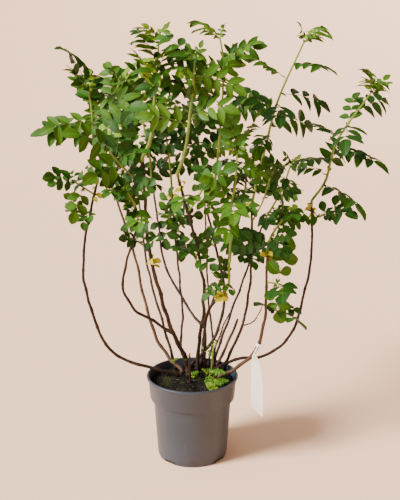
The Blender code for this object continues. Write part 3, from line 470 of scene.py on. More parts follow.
def growTube(shell, path, radii, sides):  # a ring drawn along a path from one frame to the next
    ring = bmesh.ops.create_circle(shell, cap_ends=True, segments=sides, radius=1)["verts"]
    edges = list(dict.fromkeys(edge for vertex in ring for edge in vertex.link_edges))
    cap = ring[0].link_faces[0]
    cap.normal_flip()
    last = None
    for turned, radius in zip(frames(path), radii):
        now = turned @ Matrix.Scale(radius, 4)
        if last is None:
            bmesh.ops.transform(shell, matrix=now, verts=ring)
        else:
            grown = bmesh.ops.extrude_edge_only(shell, edges=edges)["geom"]
            ring = [part for part in grown if isinstance(part, bmesh.types.BMVert)]
            edges = [part for part in grown if isinstance(part, bmesh.types.BMEdge)]
            bmesh.ops.transform(shell, matrix=now @ last.inverted(), verts=ring)
        last = now
    bmesh.ops.holes_fill(shell, edges=edges, sides=sides)


def growThorn(shell, place, out, ahead, length):  # a small hooked cone, its tip bent down the cane
    side = squareTo(out, ahead)
    seat = Matrix((side, out.cross(side), out)).transposed().to_4x4()
    seat.translation = place + out * length * thorn["sunk"]
    cone = bmesh.ops.create_cone(shell, cap_ends=True, segments=thorn["sides"], depth=length, matrix=seat,
                                 radius1=length * thorn["foot"], radius2=length * thorn["point"])["verts"]
    for vertex in cone:
        rise = max(0, (vertex.co - place).dot(out)) / length
        vertex.co -= ahead * length * thorn["hook"] * rise * rise


def roughen(shell, scale, amount):  # pushes a skin in and out by a few lumps
    shell.normal_update()
    for vertex in shell.verts:
        vertex.co += vertex.normal * noise.noise(vertex.co * scale) * amount


def barkFinish(name, low, high):
    bark = Finish(name, Roughness=0.66, Specular_IOR_Level=0.25)
    grain = bark.speckle(420, 4, (1, 1, 0.12), 0.65)
    patches = bark.speckle(38, 3, (1, 1, 0.5))
    brown = bark.blend(bark.between(grain, 0.35, 0.7), tint(*low), tint(*high))
    grey = bark.between(patches, 0.5, 0.68) * 0.45
    bark.feed("Base Color", bark.blend(grey, brown, tint(72, 58, 44)))
    bark.feed("Roughness", bark.between(grain, 0.3, 0.7, 0.5, 0.8))
    bark.relief(grain, 0.5, 0.0006)
    return bark.material


def buildCanes():
    skin, paleSkin, greenSkin, spikes = bmesh.new(), bmesh.new(), bmesh.new(), bmesh.new()
    dice = random.Random(caneLook["seed"])
    for name in canes:
        path = canePath(name)
        last = len(path) - 1
        length = sum((b - a).length for a, b in zip(path, path[1:]))
        joints = length / caneLook["joint"]
        shift = dice.random()
        radii = []
        for index in range(last + 1):
            along = index / last
            off = ((along * joints + shift) % 1 - 0.5) / caneLook["jointWide"]
            swell = caneLook["jointSwell"] * math.exp(-off ** 2)
            base = caneLook["footSwell"] * math.exp(-along * length / caneLook["swellRun"])
            radii.append(caneRadius(name, along) * (0.97 + swell + base))
        radii[-1] *= 0.8
        cut = round(last * caneLook["greenFrom"].get(name, 1))
        bark = paleSkin if name in caneLook["pale"] else skin
        growTube(bark, path[:cut + 1], radii[:cut + 1], caneLook["sides"])
        if cut < last:
            growTube(greenSkin, path[cut - 2:], radii[cut - 2:], caneLook["sides"])
        for _ in range(round(length * caneLook["prickles"])):
            along = dice.uniform(0.12, 0.97)
            place, ahead = placeAlong(path, along)
            out = turnedOut(ahead, dice.uniform(0, 6.3))
            skinPlace = place + out * caneRadius(name, along) * 0.9
            growThorn(spikes, skinPlace, out, ahead, dice.uniform(*caneLook["prickleLong"]))
    nodes = [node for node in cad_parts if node.startswith(("cane_", "stub_"))]
    roughen(skin, caneLook["lumpScale"], caneLook["lump"])
    roughen(paleSkin, caneLook["lumpScale"], caneLook["lump"])
    darkBark = barkFinish("darkBark", (20, 10, 7), (48, 28, 19))
    paleBark = barkFinish("paleBark", (46, 30, 21), (92, 66, 44))
    youngBark = stemFinish("youngBark", (84, 104, 20), (122, 142, 44))
    finishPiece("caneBark", skin, darkBark, nodes)
    finishPiece("oldCaneBark", paleSkin, paleBark, nodes)
    finishPiece("youngCane", greenSkin, youngBark, nodes)
    finishPiece("canePrickles", spikes, darkBark, nodes)
    print("canes grown")


# how leaves stand along a stem, in degrees and shares, and how a blade hangs
growth = {
    "last": 0.96, "top": 0.985, "stray": (0.1, 0.9), "turn": 137.5, "turnStray": 30,
    "topSpread": (10, 60), "sideSpread": (45, 88), "sizes": (0.78, 1.15), "droops": (0.2, 1.1), "roll": 40,
    "light": (0.1, -0.85, 0.52), "lightPull": 1.6, "fold": 0.14, "droopLag": 0.125,
}
# one leaf, in shares of its length and in degrees, by its number of pairs, and how leaflets stray
leafLook = {
    "seed": 11, "steps": 12, "blade": (10, 4), "teeth": 0.07, "vee": 0.34, "blunt": 0.72,
    "pointed": 0.43, "rounded": 0.54, "angle": {1: 68, 2: 58}, "angleStray": 9,
    "length": {1: 0.33, 2: 0.31}, "pairPlaces": {1: (0.22, 0.5), 2: (0.2, 0.4, 0.6)},
    "ribEnd": {1: 0.64, 2: 0.68}, "endBroad": 1.1, "roundFrom": 0.6,
    "curl": (0.04, 0.3), "tilt": 0.22, "wave": 0.045, "sway": 0.12, "grown": (0.86, 1.06),
    "ribRadius": 0.00065, "ribSteps": 9, "ribSides": 5, "ribSunk": 0.0003,
    "stipule": 0.12, "stipuleTurn": 0.35, "stipuleBroad": 0.34, "fillSize": 0.84,
}


def coarsePath(shoot):  # the bends that the leaves stand on
    lead = caneLook["footRise"]
    if "foot" in shoot:
        foot = Vector((*shoot["foot"], soilTop))
        return [foot, *smoothPath([foot + up * lead, *shoot["bends"]], stemLook["leafStep"])]
    route = canePath(shoot["cane"], caneLook["bendStep"])
    start, direction = placeAlong(route, min(shoot["at"], 1))
    if shoot["at"] >= 1:
        return [start, *smoothPath([start + direction * lead, *shoot["bends"]], stemLook["leafStep"])]
    side = squareTo(direction, Vector(shoot["bends"][0]) - start)
    start += side * caneRadius(shoot["cane"], shoot["at"])
    return smoothPath([start, *shoot["bends"]], stemLook["leafStep"])


def growLeaves(shoot):  # root, heading, size, droop and roll of each leaf, set spirally up the stem
    dice = random.Random(shoot["seed"])
    path = coarsePath(shoot)
    count, bare = shoot["leaves"], shoot["bare"]
    turn = dice.uniform(0, 360)
    leaves = []
    for index in range(count):
        isTop = index == count - 1
        fraction = bare + (growth["last"] - bare) * (index + dice.uniform(*growth["stray"])) / count
        place, direction = placeAlong(path, growth["top"] if isTop else fraction)
        turn += growth["turn"] + dice.uniform(-growth["turnStray"], growth["turnStray"])
        side = turnedOut(direction, math.radians(turn))
        spread = math.radians(dice.uniform(*growth["topSpread" if isTop else "sideSpread"]))
        heading = direction * math.cos(spread) + side * math.sin(spread)
        size = shoot["leaf"] * dice.uniform(*growth["sizes"])
        droop = dice.uniform(*growth["droops"])
        roll = math.radians(dice.uniform(-growth["roll"], growth["roll"]))
        leaves.append((place, heading, size, droop, roll))
    return leaves


def leafStations(leaf):  # frames (place, along, across, normal) down a leaf's drooping rib
    place, heading, size, droop, roll = leaf
    place = place.copy()
    light = Vector(growth["light"]).normalized() * growth["lightPull"]
    stations = []
    for index in range(leafLook["steps"] + 1):
        share = max(0, (index + 0.5) / leafLook["steps"] - growth["droopLag"])
        along = (heading - up * droop * share).normalized()
        normal = Matrix.Rotation(roll, 3, along) @ squareTo(along, up + light)
        stations.append((place.copy(), along, normal.cross(along), normal))
        place += along * size / leafLook["steps"]
    return stations


def bendLeaf(stations, size, forward, sideways, lift=0):  # where a point of the flat leaf comes to lie
    at = min(max(forward / size, 0), 1) * leafLook["steps"]
    index = min(int(at), leafLook["steps"] - 1)
    start, end = stations[index], stations[index + 1]
    place, along, across, normal = (a.lerp(b, at - index) for a, b in zip(start, end))
    over = forward - at / leafLook["steps"] * size
    return place + along * over + across * sideways + normal * (lift - growth["fold"] * abs(sideways))


def leafletBlank(broadest):  # one leaflet, 1 long and 1 broad, toothed, folded and with its own UVs
    long, broad = leafLook["blade"]
    blank = bmesh.new()
    bmesh.ops.create_grid(blank, x_segments=long, y_segments=broad, size=0.5, calc_uvs=False)
    layer = blank.loops.layers.uv.new("UVMap")
    for face in blank.faces:
        for corner in face.loops:
            corner[layer].uv = (corner.vert.co.x + 0.5, corner.vert.co.y + 0.5)
    for vertex in blank.verts:
        along, aside = vertex.co.x + 0.5, vertex.co.y * 2
        bulge = math.log(0.5) / math.log(broadest)
        width = math.sin(math.pi * along ** bulge) ** leafLook["blunt"] if 0 < along < 1 else 0
        isTooth = round(along * long) % 2 == 1 and abs(aside) > 0.99
        width *= 1 + leafLook["teeth"] * (1 if isTooth else -0.4)
        vertex.co = (along, aside * width / 2, leafLook["vee"] * abs(aside) * width / 2)
    bmesh.ops.remove_doubles(blank, verts=blank.verts, dist=0.0001)
    mesh = bpy.data.meshes.new("leafletBlank")
    blank.to_mesh(mesh)
    blank.free()
    return mesh


def layLeaflet(shell, blank, stations, size, root, heading, length, width, dice):
    # a leaflet laid on the leaf's bent rib, with a curl and a tilt of its own
    leaflet = bmesh.new()
    leaflet.from_mesh(blank)
    ahead = Vector((math.cos(heading), math.sin(heading)))
    aside = Vector((-ahead.y, ahead.x))
    curl, tilt = dice.uniform(*leafLook["curl"]), dice.uniform(-leafLook["tilt"], leafLook["tilt"])
    wave, phase = dice.uniform(0, leafLook["wave"]), dice.uniform(0, 6)
    sway = dice.uniform(-leafLook["sway"], leafLook["sway"])
    for vertex in leaflet.verts:
        x, y, z = vertex.co
        flat = root + ahead * (x * length) + aside * (y * width + sway * x * x * length)
        ripple = wave * math.sin(x * 9 + phase) * abs(y) * 2
        lift = z * width - curl * x * x * length + tilt * y * width + ripple * width
        vertex.co = bendLeaf(stations, size, flat.x, flat.y, lift)
    scratch = bpy.data.meshes.new("scratch")
    leaflet.to_mesh(scratch)
    leaflet.free()
    shell.from_mesh(scratch)
    bpy.data.meshes.remove(scratch)


def layLeaf(shell, ribs, blank, leaf, shape, pairs, dice):  # paired leaflets, an end leaflet and the rib
    size = leaf[2]
    stations = leafStations(leaf)
    length = leafLook["length"][pairs] * size
    angle = math.radians(leafLook["angle"][pairs])
    stray = math.radians(leafLook["angleStray"])
    places = leafLook["pairPlaces"][pairs]
    for share in places:
        for side in (1, -1):
            heading = side * (angle + dice.uniform(-stray, stray))
            grown = length * dice.uniform(*leafLook["grown"])
            root = Vector((share * size + dice.uniform(-0.01, 0.01) * size, 0))
            layLeaflet(shell, blank, stations, size, root, heading, grown, grown * shape, dice)
    end = leafLook["ribEnd"][pairs] * size
    broad = (size - end) * shape * leafLook["endBroad"]
    layLeaflet(shell, blank, stations, size, Vector((end, 0)), 0, size - end, broad, dice)
    for side in (1, -1):  # the pair of narrow stipules at the leaf's foot
        wing = leafLook["stipule"] * size
        broad = wing * leafLook["stipuleBroad"]
        heading = side * leafLook["stipuleTurn"]
        layLeaflet(shell, blank, stations, size, Vector((0, 0)), heading, wing, broad, dice)
    steps, sunk = leafLook["ribSteps"], leafLook["ribSunk"]
    rib = [bendLeaf(stations, size, end * index / steps, 0, -sunk) for index in range(steps + 1)]
    thick = leafLook["ribRadius"] * (0.6 + size * 5)
    radii = [thick * (1 - 0.5 * index / steps) for index in range(steps + 1)]
    growTube(ribs, rib, radii, leafLook["ribSides"])


# what each kind of leaf looks like, and how often it turns up low, midway and high in the bush
leafKinds = {
    "leavesDeep": dict(dark=(14, 44, 0), bright=(30, 70, 0), gloss=0.52, share=(0.52, 0.3, 0.16)),
    "leavesMid": dict(dark=(26, 62, 0), bright=(44, 86, 0), gloss=0.5, share=(0.4, 0.44, 0.42)),
    "leavesFresh": dict(dark=(42, 78, 0), bright=(64, 102, 2), gloss=0.5, share=(0.07, 0.24, 0.36)),
    "leavesLight": dict(dark=(76, 108, 4), bright=(106, 132, 14), gloss=0.54, share=(0.0, 0.015, 0.06)),
    "leavesYellow": dict(dark=(150, 144, 2), bright=(198, 190, 22), gloss=0.5, share=(0.01, 0.005, 0.0)),
}
leafLevels = (0.5, 0.68)  # the two heights where low turns into midway and midway into high
witheredLook = {"size": (0.009, 0.021), "droop": (0.8, 2), "broad": 0.5, "spread": (-0.04, 0.02)}
withered = (  # tufts of yellowed leaflets: cane, how far along it and how many
    ("cane_front_right", 0.6, 20), ("cane_right", 0.99, 12), ("cane_far_right", 0.98, 12),
    ("cane_far_left", 0.98, 8), ("cane_thick", 0.6, 9), ("cane_front_middle", 0.97, 6),
    ("cane_back_inner", 0.97, 4), ("cane_tagged", 0.97, 5),
)
sprigs = (  # low growth from the soil: place, height over the soil, number of leaves and their length
    (0.046, -0.058, 0, 5, 0.02), (0.036, -0.062, 0, 4, 0.017), (0.056, -0.046, 0, 4, 0.018),
    (0.05, -0.035, 0, 4, 0.016), (0.002, 0.004, 0, 4, 0.016), (0.03, 0.02, 0.003, 4, 0.013),
    (0.044, 0.01, 0.003, 4, 0.014),
)
sprigLook = {"sunk": 0.003, "step": 0.002, "radius": 0.0008, "sides": 6, "shape": 0.85}
caneSprigs = (  # sprigs on the bark: cane, how far along it, number of leaves and their length
    ("cane_back_left", 0.07, 3, 0.012), ("cane_thick", 0.08, 3, 0.01), ("cane_front_right", 0.12, 3, 0.012),
)


def pickKind(shoot, height, dice):
    if "foot" in shoot:
        return dice.choice(("leavesFresh", "leavesLight"))
    level = sum(height > step for step in leafLevels)
    kinds = list(leafKinds)
    return dice.choices(kinds, [leafKinds[kind]["share"][level] for kind in kinds])[0]


def leafFinish(name, look):
    leaf = Finish(name + "Finish", Roughness=look["gloss"], Specular_IOR_Level=0.22)
    flat = leaf.node("ShaderNodeUVMap", {"uv_map": "UVMap"})
    split = leaf.node("ShaderNodeSeparateXYZ", {}, {0: flat})
    along, across = split, Value(leaf, split.socket.node.outputs["Y"])
    off = leaf.maths("ABSOLUTE", across - 0.5, 0) * 2
    midrib = leaf.between(off, 0.1, 0.02)
    wave = leaf.maths("SINE", (along * 1.0 - off * 0.22) * 50, 0)
    sideVeins = leaf.between(wave, 0.86, 1.0) * leaf.between(off, 0.95, 0.6)
    mottle = leaf.speckle(16, 3)
    fine = leaf.speckle(260, 3)
    mixed = leaf.between(mottle + fine * 0.3, 0.42, 0.9)
    green = leaf.blend(mixed, tint(*look["dark"]), tint(*look["bright"]))
    pale = tint(*(min(255, c * 1.15 + 12) for c in look["bright"]))
    green = leaf.blend(leaf.maths("MAXIMUM", midrib * 0.75, sideVeins * 0.4), green, pale)
    edge = leaf.between(off, 0.9, 1.0) * leaf.between(fine, 0.5, 0.66)
    leaf.feed("Base Color", leaf.blend(edge * 0.3, green, tint(96, 80, 24)))
    leaf.feed("Roughness", leaf.between(fine, 0.3, 0.7, look["gloss"] - 0.07, look["gloss"] + 0.12))
    leaf.relief(fine * 0.35 - midrib - sideVeins * 0.7, 0.5, 0.0008)
    return leaf.material


def stemFinish(name, low, high):
    stem = Finish(name, Roughness=0.5, Specular_IOR_Level=0.4)
    streaks = stem.speckle(300, 3, (1, 1, 0.15))
    patches = stem.speckle(30, 2)
    green = stem.blend(stem.between(patches, 0.38, 0.66), tint(*low), tint(*high))
    dark = stem.blend(0.35, green, tint(70, 44, 24))
    stem.feed("Base Color", stem.blend(stem.between(streaks, 0.5, 0.7), green, dark))
    stem.relief(streaks, 0.3, 0.0004)
    return stem.material


def growSprigs(stems, ribs, shells, blank, dice):  # small shoots from the soil and from the foot of canes
    roots = [(Vector((x, y, soilTop + rise)), count, leaf) for x, y, rise, count, leaf in sprigs]
    for cane, along, count, leaf in caneSprigs:
        roots.append((placeAlong(canePath(cane), along)[0], count, leaf))
    for root, count, leaf in roots:
        heading = Vector((dice.gauss(0, 0.3), dice.gauss(0, 0.3), 1)).normalized()
        bends = (root + heading * leaf * 0.3, root + heading * leaf * 0.7)
        stalk = smoothPath([root - up * sprigLook["sunk"], *bends], sprigLook["step"])
        growTube(stems, stalk, [sprigLook["radius"]] * len(stalk), sprigLook["sides"])
        for index in range(count):
            place = placeAlong(stalk, 1 - index / count * 0.8)[0]
            spread = Matrix.Rotation(index * math.radians(growth["turn"]), 3, up) @ Vector((1, 0, 0.45))
            long = leaf * dice.uniform(0.8, 1.15)
            twig = (place, spread.normalized(), long, dice.uniform(0.2, 0.9), 0)
            shell = shells["leavesLight" if index % 3 else "leavesFresh"]
            layLeaf(shell, ribs, blank, twig, sprigLook["shape"], 1, dice)


def growWithered(shell, blank, dice):  # loose yellowed leaflets round a cane
    for cane, along, count in withered:
        for _ in range(count):
            spread = dice.uniform(*witheredLook["spread"])
            place, ahead = placeAlong(canePath(cane), min(1, along + spread))
            stray = Vector((dice.gauss(0, 1), dice.gauss(0, 1), dice.gauss(0, 0.8)))
            size = dice.uniform(*witheredLook["size"])
            droop, roll = dice.uniform(*witheredLook["droop"]), dice.uniform(-1, 1)
            scrap = leafStations((place, (ahead + stray).normalized(), size, droop, roll))
            root, broad = Vector((0.1 * size, 0)), size * witheredLook["broad"]
            layLeaflet(shell, blank, scrap, size, root, 0, size, broad, dice)


def buildFoliage():
    dice = random.Random(leafLook["seed"])
    pointed, rounded = leafletBlank(leafLook["pointed"]), leafletBlank(leafLook["rounded"])
    stems, ribs, thorns = bmesh.new(), bmesh.new(), bmesh.new()
    shells = {kind: bmesh.new() for kind in leafKinds}
    for shoot in shoots.values():
        path = shootPath(shoot)
        last = len(path) - 1
        isLeader = shoot.get("at", 0) >= 1
        first = caneRadius(shoot["cane"], 1) * stemLook["thicken"] if isLeader else stemLook["spurRadius"]
        taper = stemLook["tipRadius"] - first
        radii = [first + taper * (index / last) ** stemLook["taper"] for index in range(last + 1)]
        growTube(stems, path, radii, stemLook["sides"])
        count, seed = shoot.get("fill", (0, 0))
        blank = rounded if shoot["shape"] > leafLook["roundFrom"] else pointed
        filling = dict(shoot, leaves=count, seed=seed, leaf=shoot["leaf"] * leafLook["fillSize"])
        for leaf in growLeaves(shoot) + growLeaves(filling):
            kind = pickKind(shoot, leaf[0].z, dice)
            layLeaf(shells[kind], ribs, blank, leaf, shoot["shape"], shoot["pairs"], dice)
        tip, ahead = placeAlong(path, 0.99)
        for index in range(stemLook["budLeaves"] if isLeader else 0):  # the young leaves round the bud
            side = turnedOut(ahead, index * stemLook["budTurn"] + dice.uniform(0, 0.6))
            heading = (ahead + side * dice.uniform(0.4, 0.9)).normalized()
            long = shoot["leaf"] * dice.uniform(*stemLook["budSize"])
            young = (tip, heading, long, dice.uniform(0, 0.7), 0)
            kind = "leavesFresh" if dice.random() < stemLook["budFresh"] else "leavesLight"
            layLeaf(shells[kind], ribs, blank, young, shoot["shape"] * stemLook["budBroad"], 1, dice)
        for _ in range(round(last * stemLook["prickleShare"]) if isLeader else 0):
            place, ahead = placeAlong(path, dice.uniform(0.03, 0.7))
            out = turnedOut(ahead, dice.uniform(0, 6.3))
            growThorn(thorns, place + out * first * 0.7, out, ahead, dice.uniform(*stemLook["prickleLong"]))
    growSprigs(stems, ribs, shells, rounded, dice)
    growWithered(shells["leavesYellow"], rounded, dice)
    for shell in (stems, ribs, thorns, *shells.values()):
        for vertex in shell.verts:  # the furthest tips stay within the frame's reach
            vertex.co = Vector(min(max(c, low), high) for c, low, high in zip(vertex.co, *cadBox))
    nodes = [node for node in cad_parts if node.startswith(("shoot_", "spur_", "sprout_"))]
    greenStem = stemFinish("greenStem", (84, 104, 20), (122, 142, 44))
    paleRib = stemFinish("paleRib", (62, 84, 12), (96, 116, 30))
    redPrickle = stemFinish("redPrickle", (88, 42, 22), (112, 66, 30))
    finishPiece("shootStems", stems, greenStem, nodes)
    finishPiece("leafRibs", ribs, paleRib, nodes)
    finishPiece("shootPrickles", thorns, redPrickle, nodes)
    for kind, shell in shells.items():
        finishPiece(kind, shell, leafFinish(kind, leafKinds[kind]), nodes)
    print("foliage grown")


# the pot, its radii measured from its axis
pot = {
    "height": 0.177, "rim": 0.095, "collar": 0.0875, "collarDepth": 0.049, "step": 0.0805, "base": 0.072,
    "wall": 0.0016, "floor": 0.003, "lipHeight": 0.005, "lipWidth": 0.003, "turns": 96, "footRing": 0.004,
    "drains": (-40, 50, 140, 230), "drainWide": 0.028, "drainHigh": 0.007, "drainReach": 0.006,
}


def potProfile():  # from the middle of the floor, up the inside, over the lip and down the outside
    step = pot["height"] - pot["collarDepth"]
    underLip = pot["rim"] - pot["lipWidth"]
    wall, roundOff = pot["wall"], pot["wall"] / 2
    lip = pot["height"] - pot["lipHeight"]
    ring = pot["footRing"]
    height, rim, collar, base, floor = (pot[part] for part in ("height", "rim", "collar", "base", "floor"))
    inside = (
        (0, floor), (base - wall - 0.002, floor), (base - wall, floor + 0.002),
        (pot["step"] - wall, step - 0.002), (collar - wall, step + 0.002),
        (underLip - wall, height - wall), (underLip - roundOff, height),
    )
    outside = (
        (rim - wall, height), (rim - 0.0005, height - 0.0004), (rim, height - 0.0014), (rim, lip + 0.0006),
        (rim - 0.0006, lip), (underLip + 0.0006, lip - 0.0002), (underLip - 0.0002, lip - 0.0012),
        (collar + 0.0004, step + 0.002), (collar - 0.0004, step + 0.0004), (collar - 0.0016, step - 0.0004),
        (pot["step"] + 0.0008, step - 0.0012), (pot["step"], step - 0.003),
    )
    foot = (
        (base + 0.0012, ring + 0.004), (base + 0.0002, ring), (base - 0.0006, ring - 0.0006),
        (base - 0.0006, 0.0008), (base - 0.0014, 0), (base - 0.006, 0), (base - 0.0068, 0.0012),
        (0, 0.0012),
    )
    return inside + outside + foot


def plasticFinish():
    plastic = Finish("greyPotPlastic", Specular_IOR_Level=0.5)
    cloud = plastic.speckle(9, 4)
    grain = plastic.speckle(900, 2)
    flow = plastic.speckle(60, 3, (1, 1, 0.06))
    grey = plastic.blend(plastic.between(cloud, 0.35, 0.65), tint(40, 50, 62), tint(48, 57, 70))
    spot = plastic.place()
    east, north, height = (plastic.node("ShaderNodeSeparateXYZ", {}, {0: spot}, axis) for axis in "XYZ")
    radius = plastic.maths("SQRT", east * east + north * north, 0)
    # painted shade: inside the drain notches and under the pot's floor the plastic is painted near black,
    # as the shadow that falls in these recesses
    paintedNotchShade = plastic.between(radius, pot["base"] - 0.0009, pot["base"] - 0.0013)
    paintedNotchShade = paintedNotchShade * plastic.between(height, pot["drainHigh"] + 0.002, pot["drainHigh"] + 0.001)
    splash = plastic.speckle(46, 5, (1, 1, 1), 0.7)
    mud = plastic.between(splash - height * 2.2, 0.46, 0.62) * 0.55
    rimMud = plastic.between(splash + (height - pot["height"]) * 9, 0.5, 0.62) * 0.4
    dusty = plastic.blend(plastic.maths("MAXIMUM", mud, rimMud), grey, tint(46, 36, 27))
    scuff = plastic.between(plastic.speckle(110, 5, (1, 1, 0.3), 0.75), 0.63, 0.7) * 0.35
    worn = plastic.blend(scuff, dusty, tint(76, 82, 88))
    # the painted notch shade goes over the worn plastic here
    plastic.feed("Base Color", plastic.blend(paintedNotchShade, worn, tint(4, 4, 4)))
    plastic.feed("Roughness", plastic.between(flow + grain * 0.3, 0.4, 0.9, 0.36, 0.5))
    plastic.relief(grain * 0.5 + flow, 0.16, 0.0006)
    return plastic.material


def applied(piece):  # the piece's mesh with its modifiers worked in
    mesh = bpy.data.meshes.new_from_object(piece.evaluated_get(bpy.context.evaluated_depsgraph_get()))
    piece.modifiers.clear()
    piece.data = mesh


def buildPot():
    shell = bmesh.new()
    points = [shell.verts.new((radius, 0, height)) for radius, height in potProfile()]
    for start, end in zip(points, points[1:]):
        shell.edges.new((start, end))
    bmesh.ops.spin(shell, geom=shell.verts[:] + shell.edges[:], cent=(0, 0, 0), axis=(0, 0, 1),
                   angle=math.tau, steps=pot["turns"], use_merge=True)
    bmesh.ops.remove_doubles(shell, verts=shell.verts, dist=0.00001)
    bmesh.ops.recalc_face_normals(shell, faces=shell.faces)
    piece = finishPiece("potShell", shell, plasticFinish(), ["pot"])
    for bearing in pot["drains"]:
        angle = math.radians(bearing - 90)
        block = bmesh.new()
        turned = Matrix.Rotation(angle, 4, "Z") @ Matrix.Translation((pot["base"], 0, 0))
        sides = Matrix.Diagonal((pot["drainReach"], pot["drainWide"], pot["drainHigh"] * 2, 1))
        bmesh.ops.create_cube(block, size=1, matrix=turned @ sides)
        mesh = bpy.data.meshes.new("drainBlock")
        block.to_mesh(mesh)
        block.free()
        cutter = bpy.data.objects.new("drainBlock", mesh)
        bpy.context.scene.collection.objects.link(cutter)
        slot = piece.modifiers.new("drain", "BOOLEAN")
        slot.operation = "DIFFERENCE"
        slot.object = cutter
        bpy.context.view_layer.update()
        applied(piece)
        bpy.data.objects.remove(cutter)
    piece.data.set_sharp_from_angle(angle=math.radians(34))
    print("pot turned")


# compost: its heap and lumps, and the crumbs, bits of bark and tufts of moss strewn over it
soil = {
    "seed": 5, "rings": 26, "turns": 72, "clear": 0.0003,
    "mound": 0.004, "lump": 0.0035, "lumpScale": 45, "grit": 0.0013, "gritScale": 190,
    "crumbs": 1100, "crumbSize": (0.0006, 0.0021), "crumbLong": (1, 1.8),
    "bits": 110, "bitSize": (0.0005, 0.0013), "bitLong": (1, 3),
    "tufts": 26, "blades": 14, "bladeHigh": (0.0015, 0.0035), "bladeLean": 0.6, "tuftSpread": 0.003,
}


def soilHeight(x, y):
    reach = min(1, math.hypot(x, y) / (pot["collar"] - pot["wall"]))
    coarse = noise.noise(Vector((x, y, 0)) * soil["lumpScale"]) * soil["lump"]
    fine = noise.noise(Vector((x, y, 3)) * soil["gritScale"]) * soil["grit"]
    heap = soil["mound"] * (1 - reach * reach)
    return soilTop - soil["lump"] + heap + (coarse + fine) * (1 - reach ** 6)


def compostFinish():
    dirt = Finish("darkCompost", Roughness=0.95, Specular_IOR_Level=0.2)
    coarse = dirt.speckle(130, 6, (1, 1, 1), 0.7)
    fine = dirt.speckle(900, 4, (1, 1, 1), 0.7)
    brown = dirt.blend(dirt.between(coarse, 0.36, 0.64), tint(9, 7, 6), tint(31, 24, 18))
    bits = dirt.between(fine, 0.66, 0.74)
    mossy = dirt.between(dirt.speckle(26, 4), 0.56, 0.64) * dirt.between(fine, 0.36, 0.56)
    green = dirt.blend(mossy * 0.8, brown, tint(44, 52, 12))
    dirt.feed("Base Color", dirt.blend(bits * 0.6, green, tint(84, 70, 52)))
    dirt.relief(coarse + fine * 0.5, 0.9, 0.002)
    return dirt.material


def chipFinish(name, dark, bright):
    chip = Finish(name, Roughness=0.85)
    grain = chip.speckle(500, 4)
    chip.feed("Base Color", chip.blend(chip.between(grain, 0.35, 0.65), tint(*dark), tint(*bright)))
    chip.relief(grain, 0.6, 0.0006)
    return chip.material


def scatter(count, dice, reach):
    for _ in range(count):
        radius, angle = reach * math.sqrt(dice.random()), dice.uniform(0, math.tau)
        x, y = radius * math.cos(angle), radius * math.sin(angle)
        yield Vector((x, y, soilHeight(x, y)))


def pebble(shell, place, size, stretch, dice):  # a knobbly grain, sunk a little
    turn = Matrix.Rotation(dice.uniform(0, 6.3), 4, "Z") @ Matrix.Rotation(dice.uniform(-0.5, 0.5), 4, "X")
    sides = Matrix.Diagonal((size * stretch, size, size * 0.7, 1))
    shape = Matrix.Translation(place + up * size * 0.25) @ turn @ sides
    grain = bmesh.ops.create_icosphere(shell, subdivisions=1, radius=1, matrix=shape)["verts"]
    for vertex in grain:
        vertex.co += (vertex.co - place) * dice.uniform(-0.25, 0.2)


def buildSoil():
    dice = random.Random(soil["seed"])
    reach = pot["collar"] - pot["wall"] - soil["clear"]
    bed = bmesh.new()
    step = pot["height"] - pot["collarDepth"]
    bottom = pot["floor"] + 2 * soil["clear"]
    spots = [(0, bottom), (pot["base"] - 0.003, bottom), (pot["step"] - 0.0024, step - 0.004),
             (reach - 0.0004, step + 0.006)]
    spots += [(reach * (1 - ring / soil["rings"]), soilTop) for ring in range(soil["rings"] + 1)]
    profile = [bed.verts.new((radius, 0, height)) for radius, height in spots]
    for start, end in zip(profile, profile[1:]):
        bed.edges.new((start, end))
    bmesh.ops.spin(bed, geom=bed.verts[:] + bed.edges[:], cent=(0, 0, 0), axis=(0, 0, 1),
                   angle=math.tau, steps=soil["turns"], use_merge=True)
    bmesh.ops.remove_doubles(bed, verts=bed.verts, dist=0.00001)
    for vertex in bed.verts:
        if vertex.co.z > soilTop - 0.001:
            vertex.co.z = soilHeight(vertex.co.x, vertex.co.y)
    bmesh.ops.recalc_face_normals(bed, faces=bed.faces)
    finishPiece("soilBed", bed, compostFinish(), ["soil"])
    crumbs, pale, moss = bmesh.new(), bmesh.new(), bmesh.new()
    for place in scatter(soil["crumbs"], dice, reach - 0.003):
        pebble(crumbs, place, dice.uniform(*soil["crumbSize"]), dice.uniform(*soil["crumbLong"]), dice)
    for place in scatter(soil["bits"], dice, reach - 0.004):
        pebble(pale, place, dice.uniform(*soil["bitSize"]), dice.uniform(*soil["bitLong"]), dice)
    spread, most = soil["tuftSpread"], soil["bladeLean"]
    for place in scatter(soil["tufts"], dice, reach - 0.01):
        for _ in range(soil["blades"]):
            spot = place + Vector((dice.gauss(0, spread), dice.gauss(0, spread), 0))
            spot.z = soilHeight(spot.x, spot.y)
            tilt = Matrix.Rotation(dice.uniform(-most, most), 4, "X")
            lean = tilt @ Matrix.Rotation(dice.uniform(-most, most), 4, "Y")
            tall = dice.uniform(*soil["bladeHigh"])
            seat = Matrix.Translation(spot + up * tall * 0.4) @ lean
            bmesh.ops.create_cone(moss, cap_ends=True, segments=4, radius1=0.0005, radius2=0.0001,
                                  depth=tall, matrix=seat)
    finishPiece("soilCrumbs", crumbs, compostFinish(), ["soil"])
    paleBits = chipFinish("paleBits", (50, 38, 28), (96, 78, 58))
    mossGreen = chipFinish("mossGreen", (40, 54, 8), (68, 84, 18))
    finishPiece("barkBits", pale, paleBits, ["soil"])
    finishPiece("mossTufts", moss, mossGreen, ["soil"])
    print("soil filled")


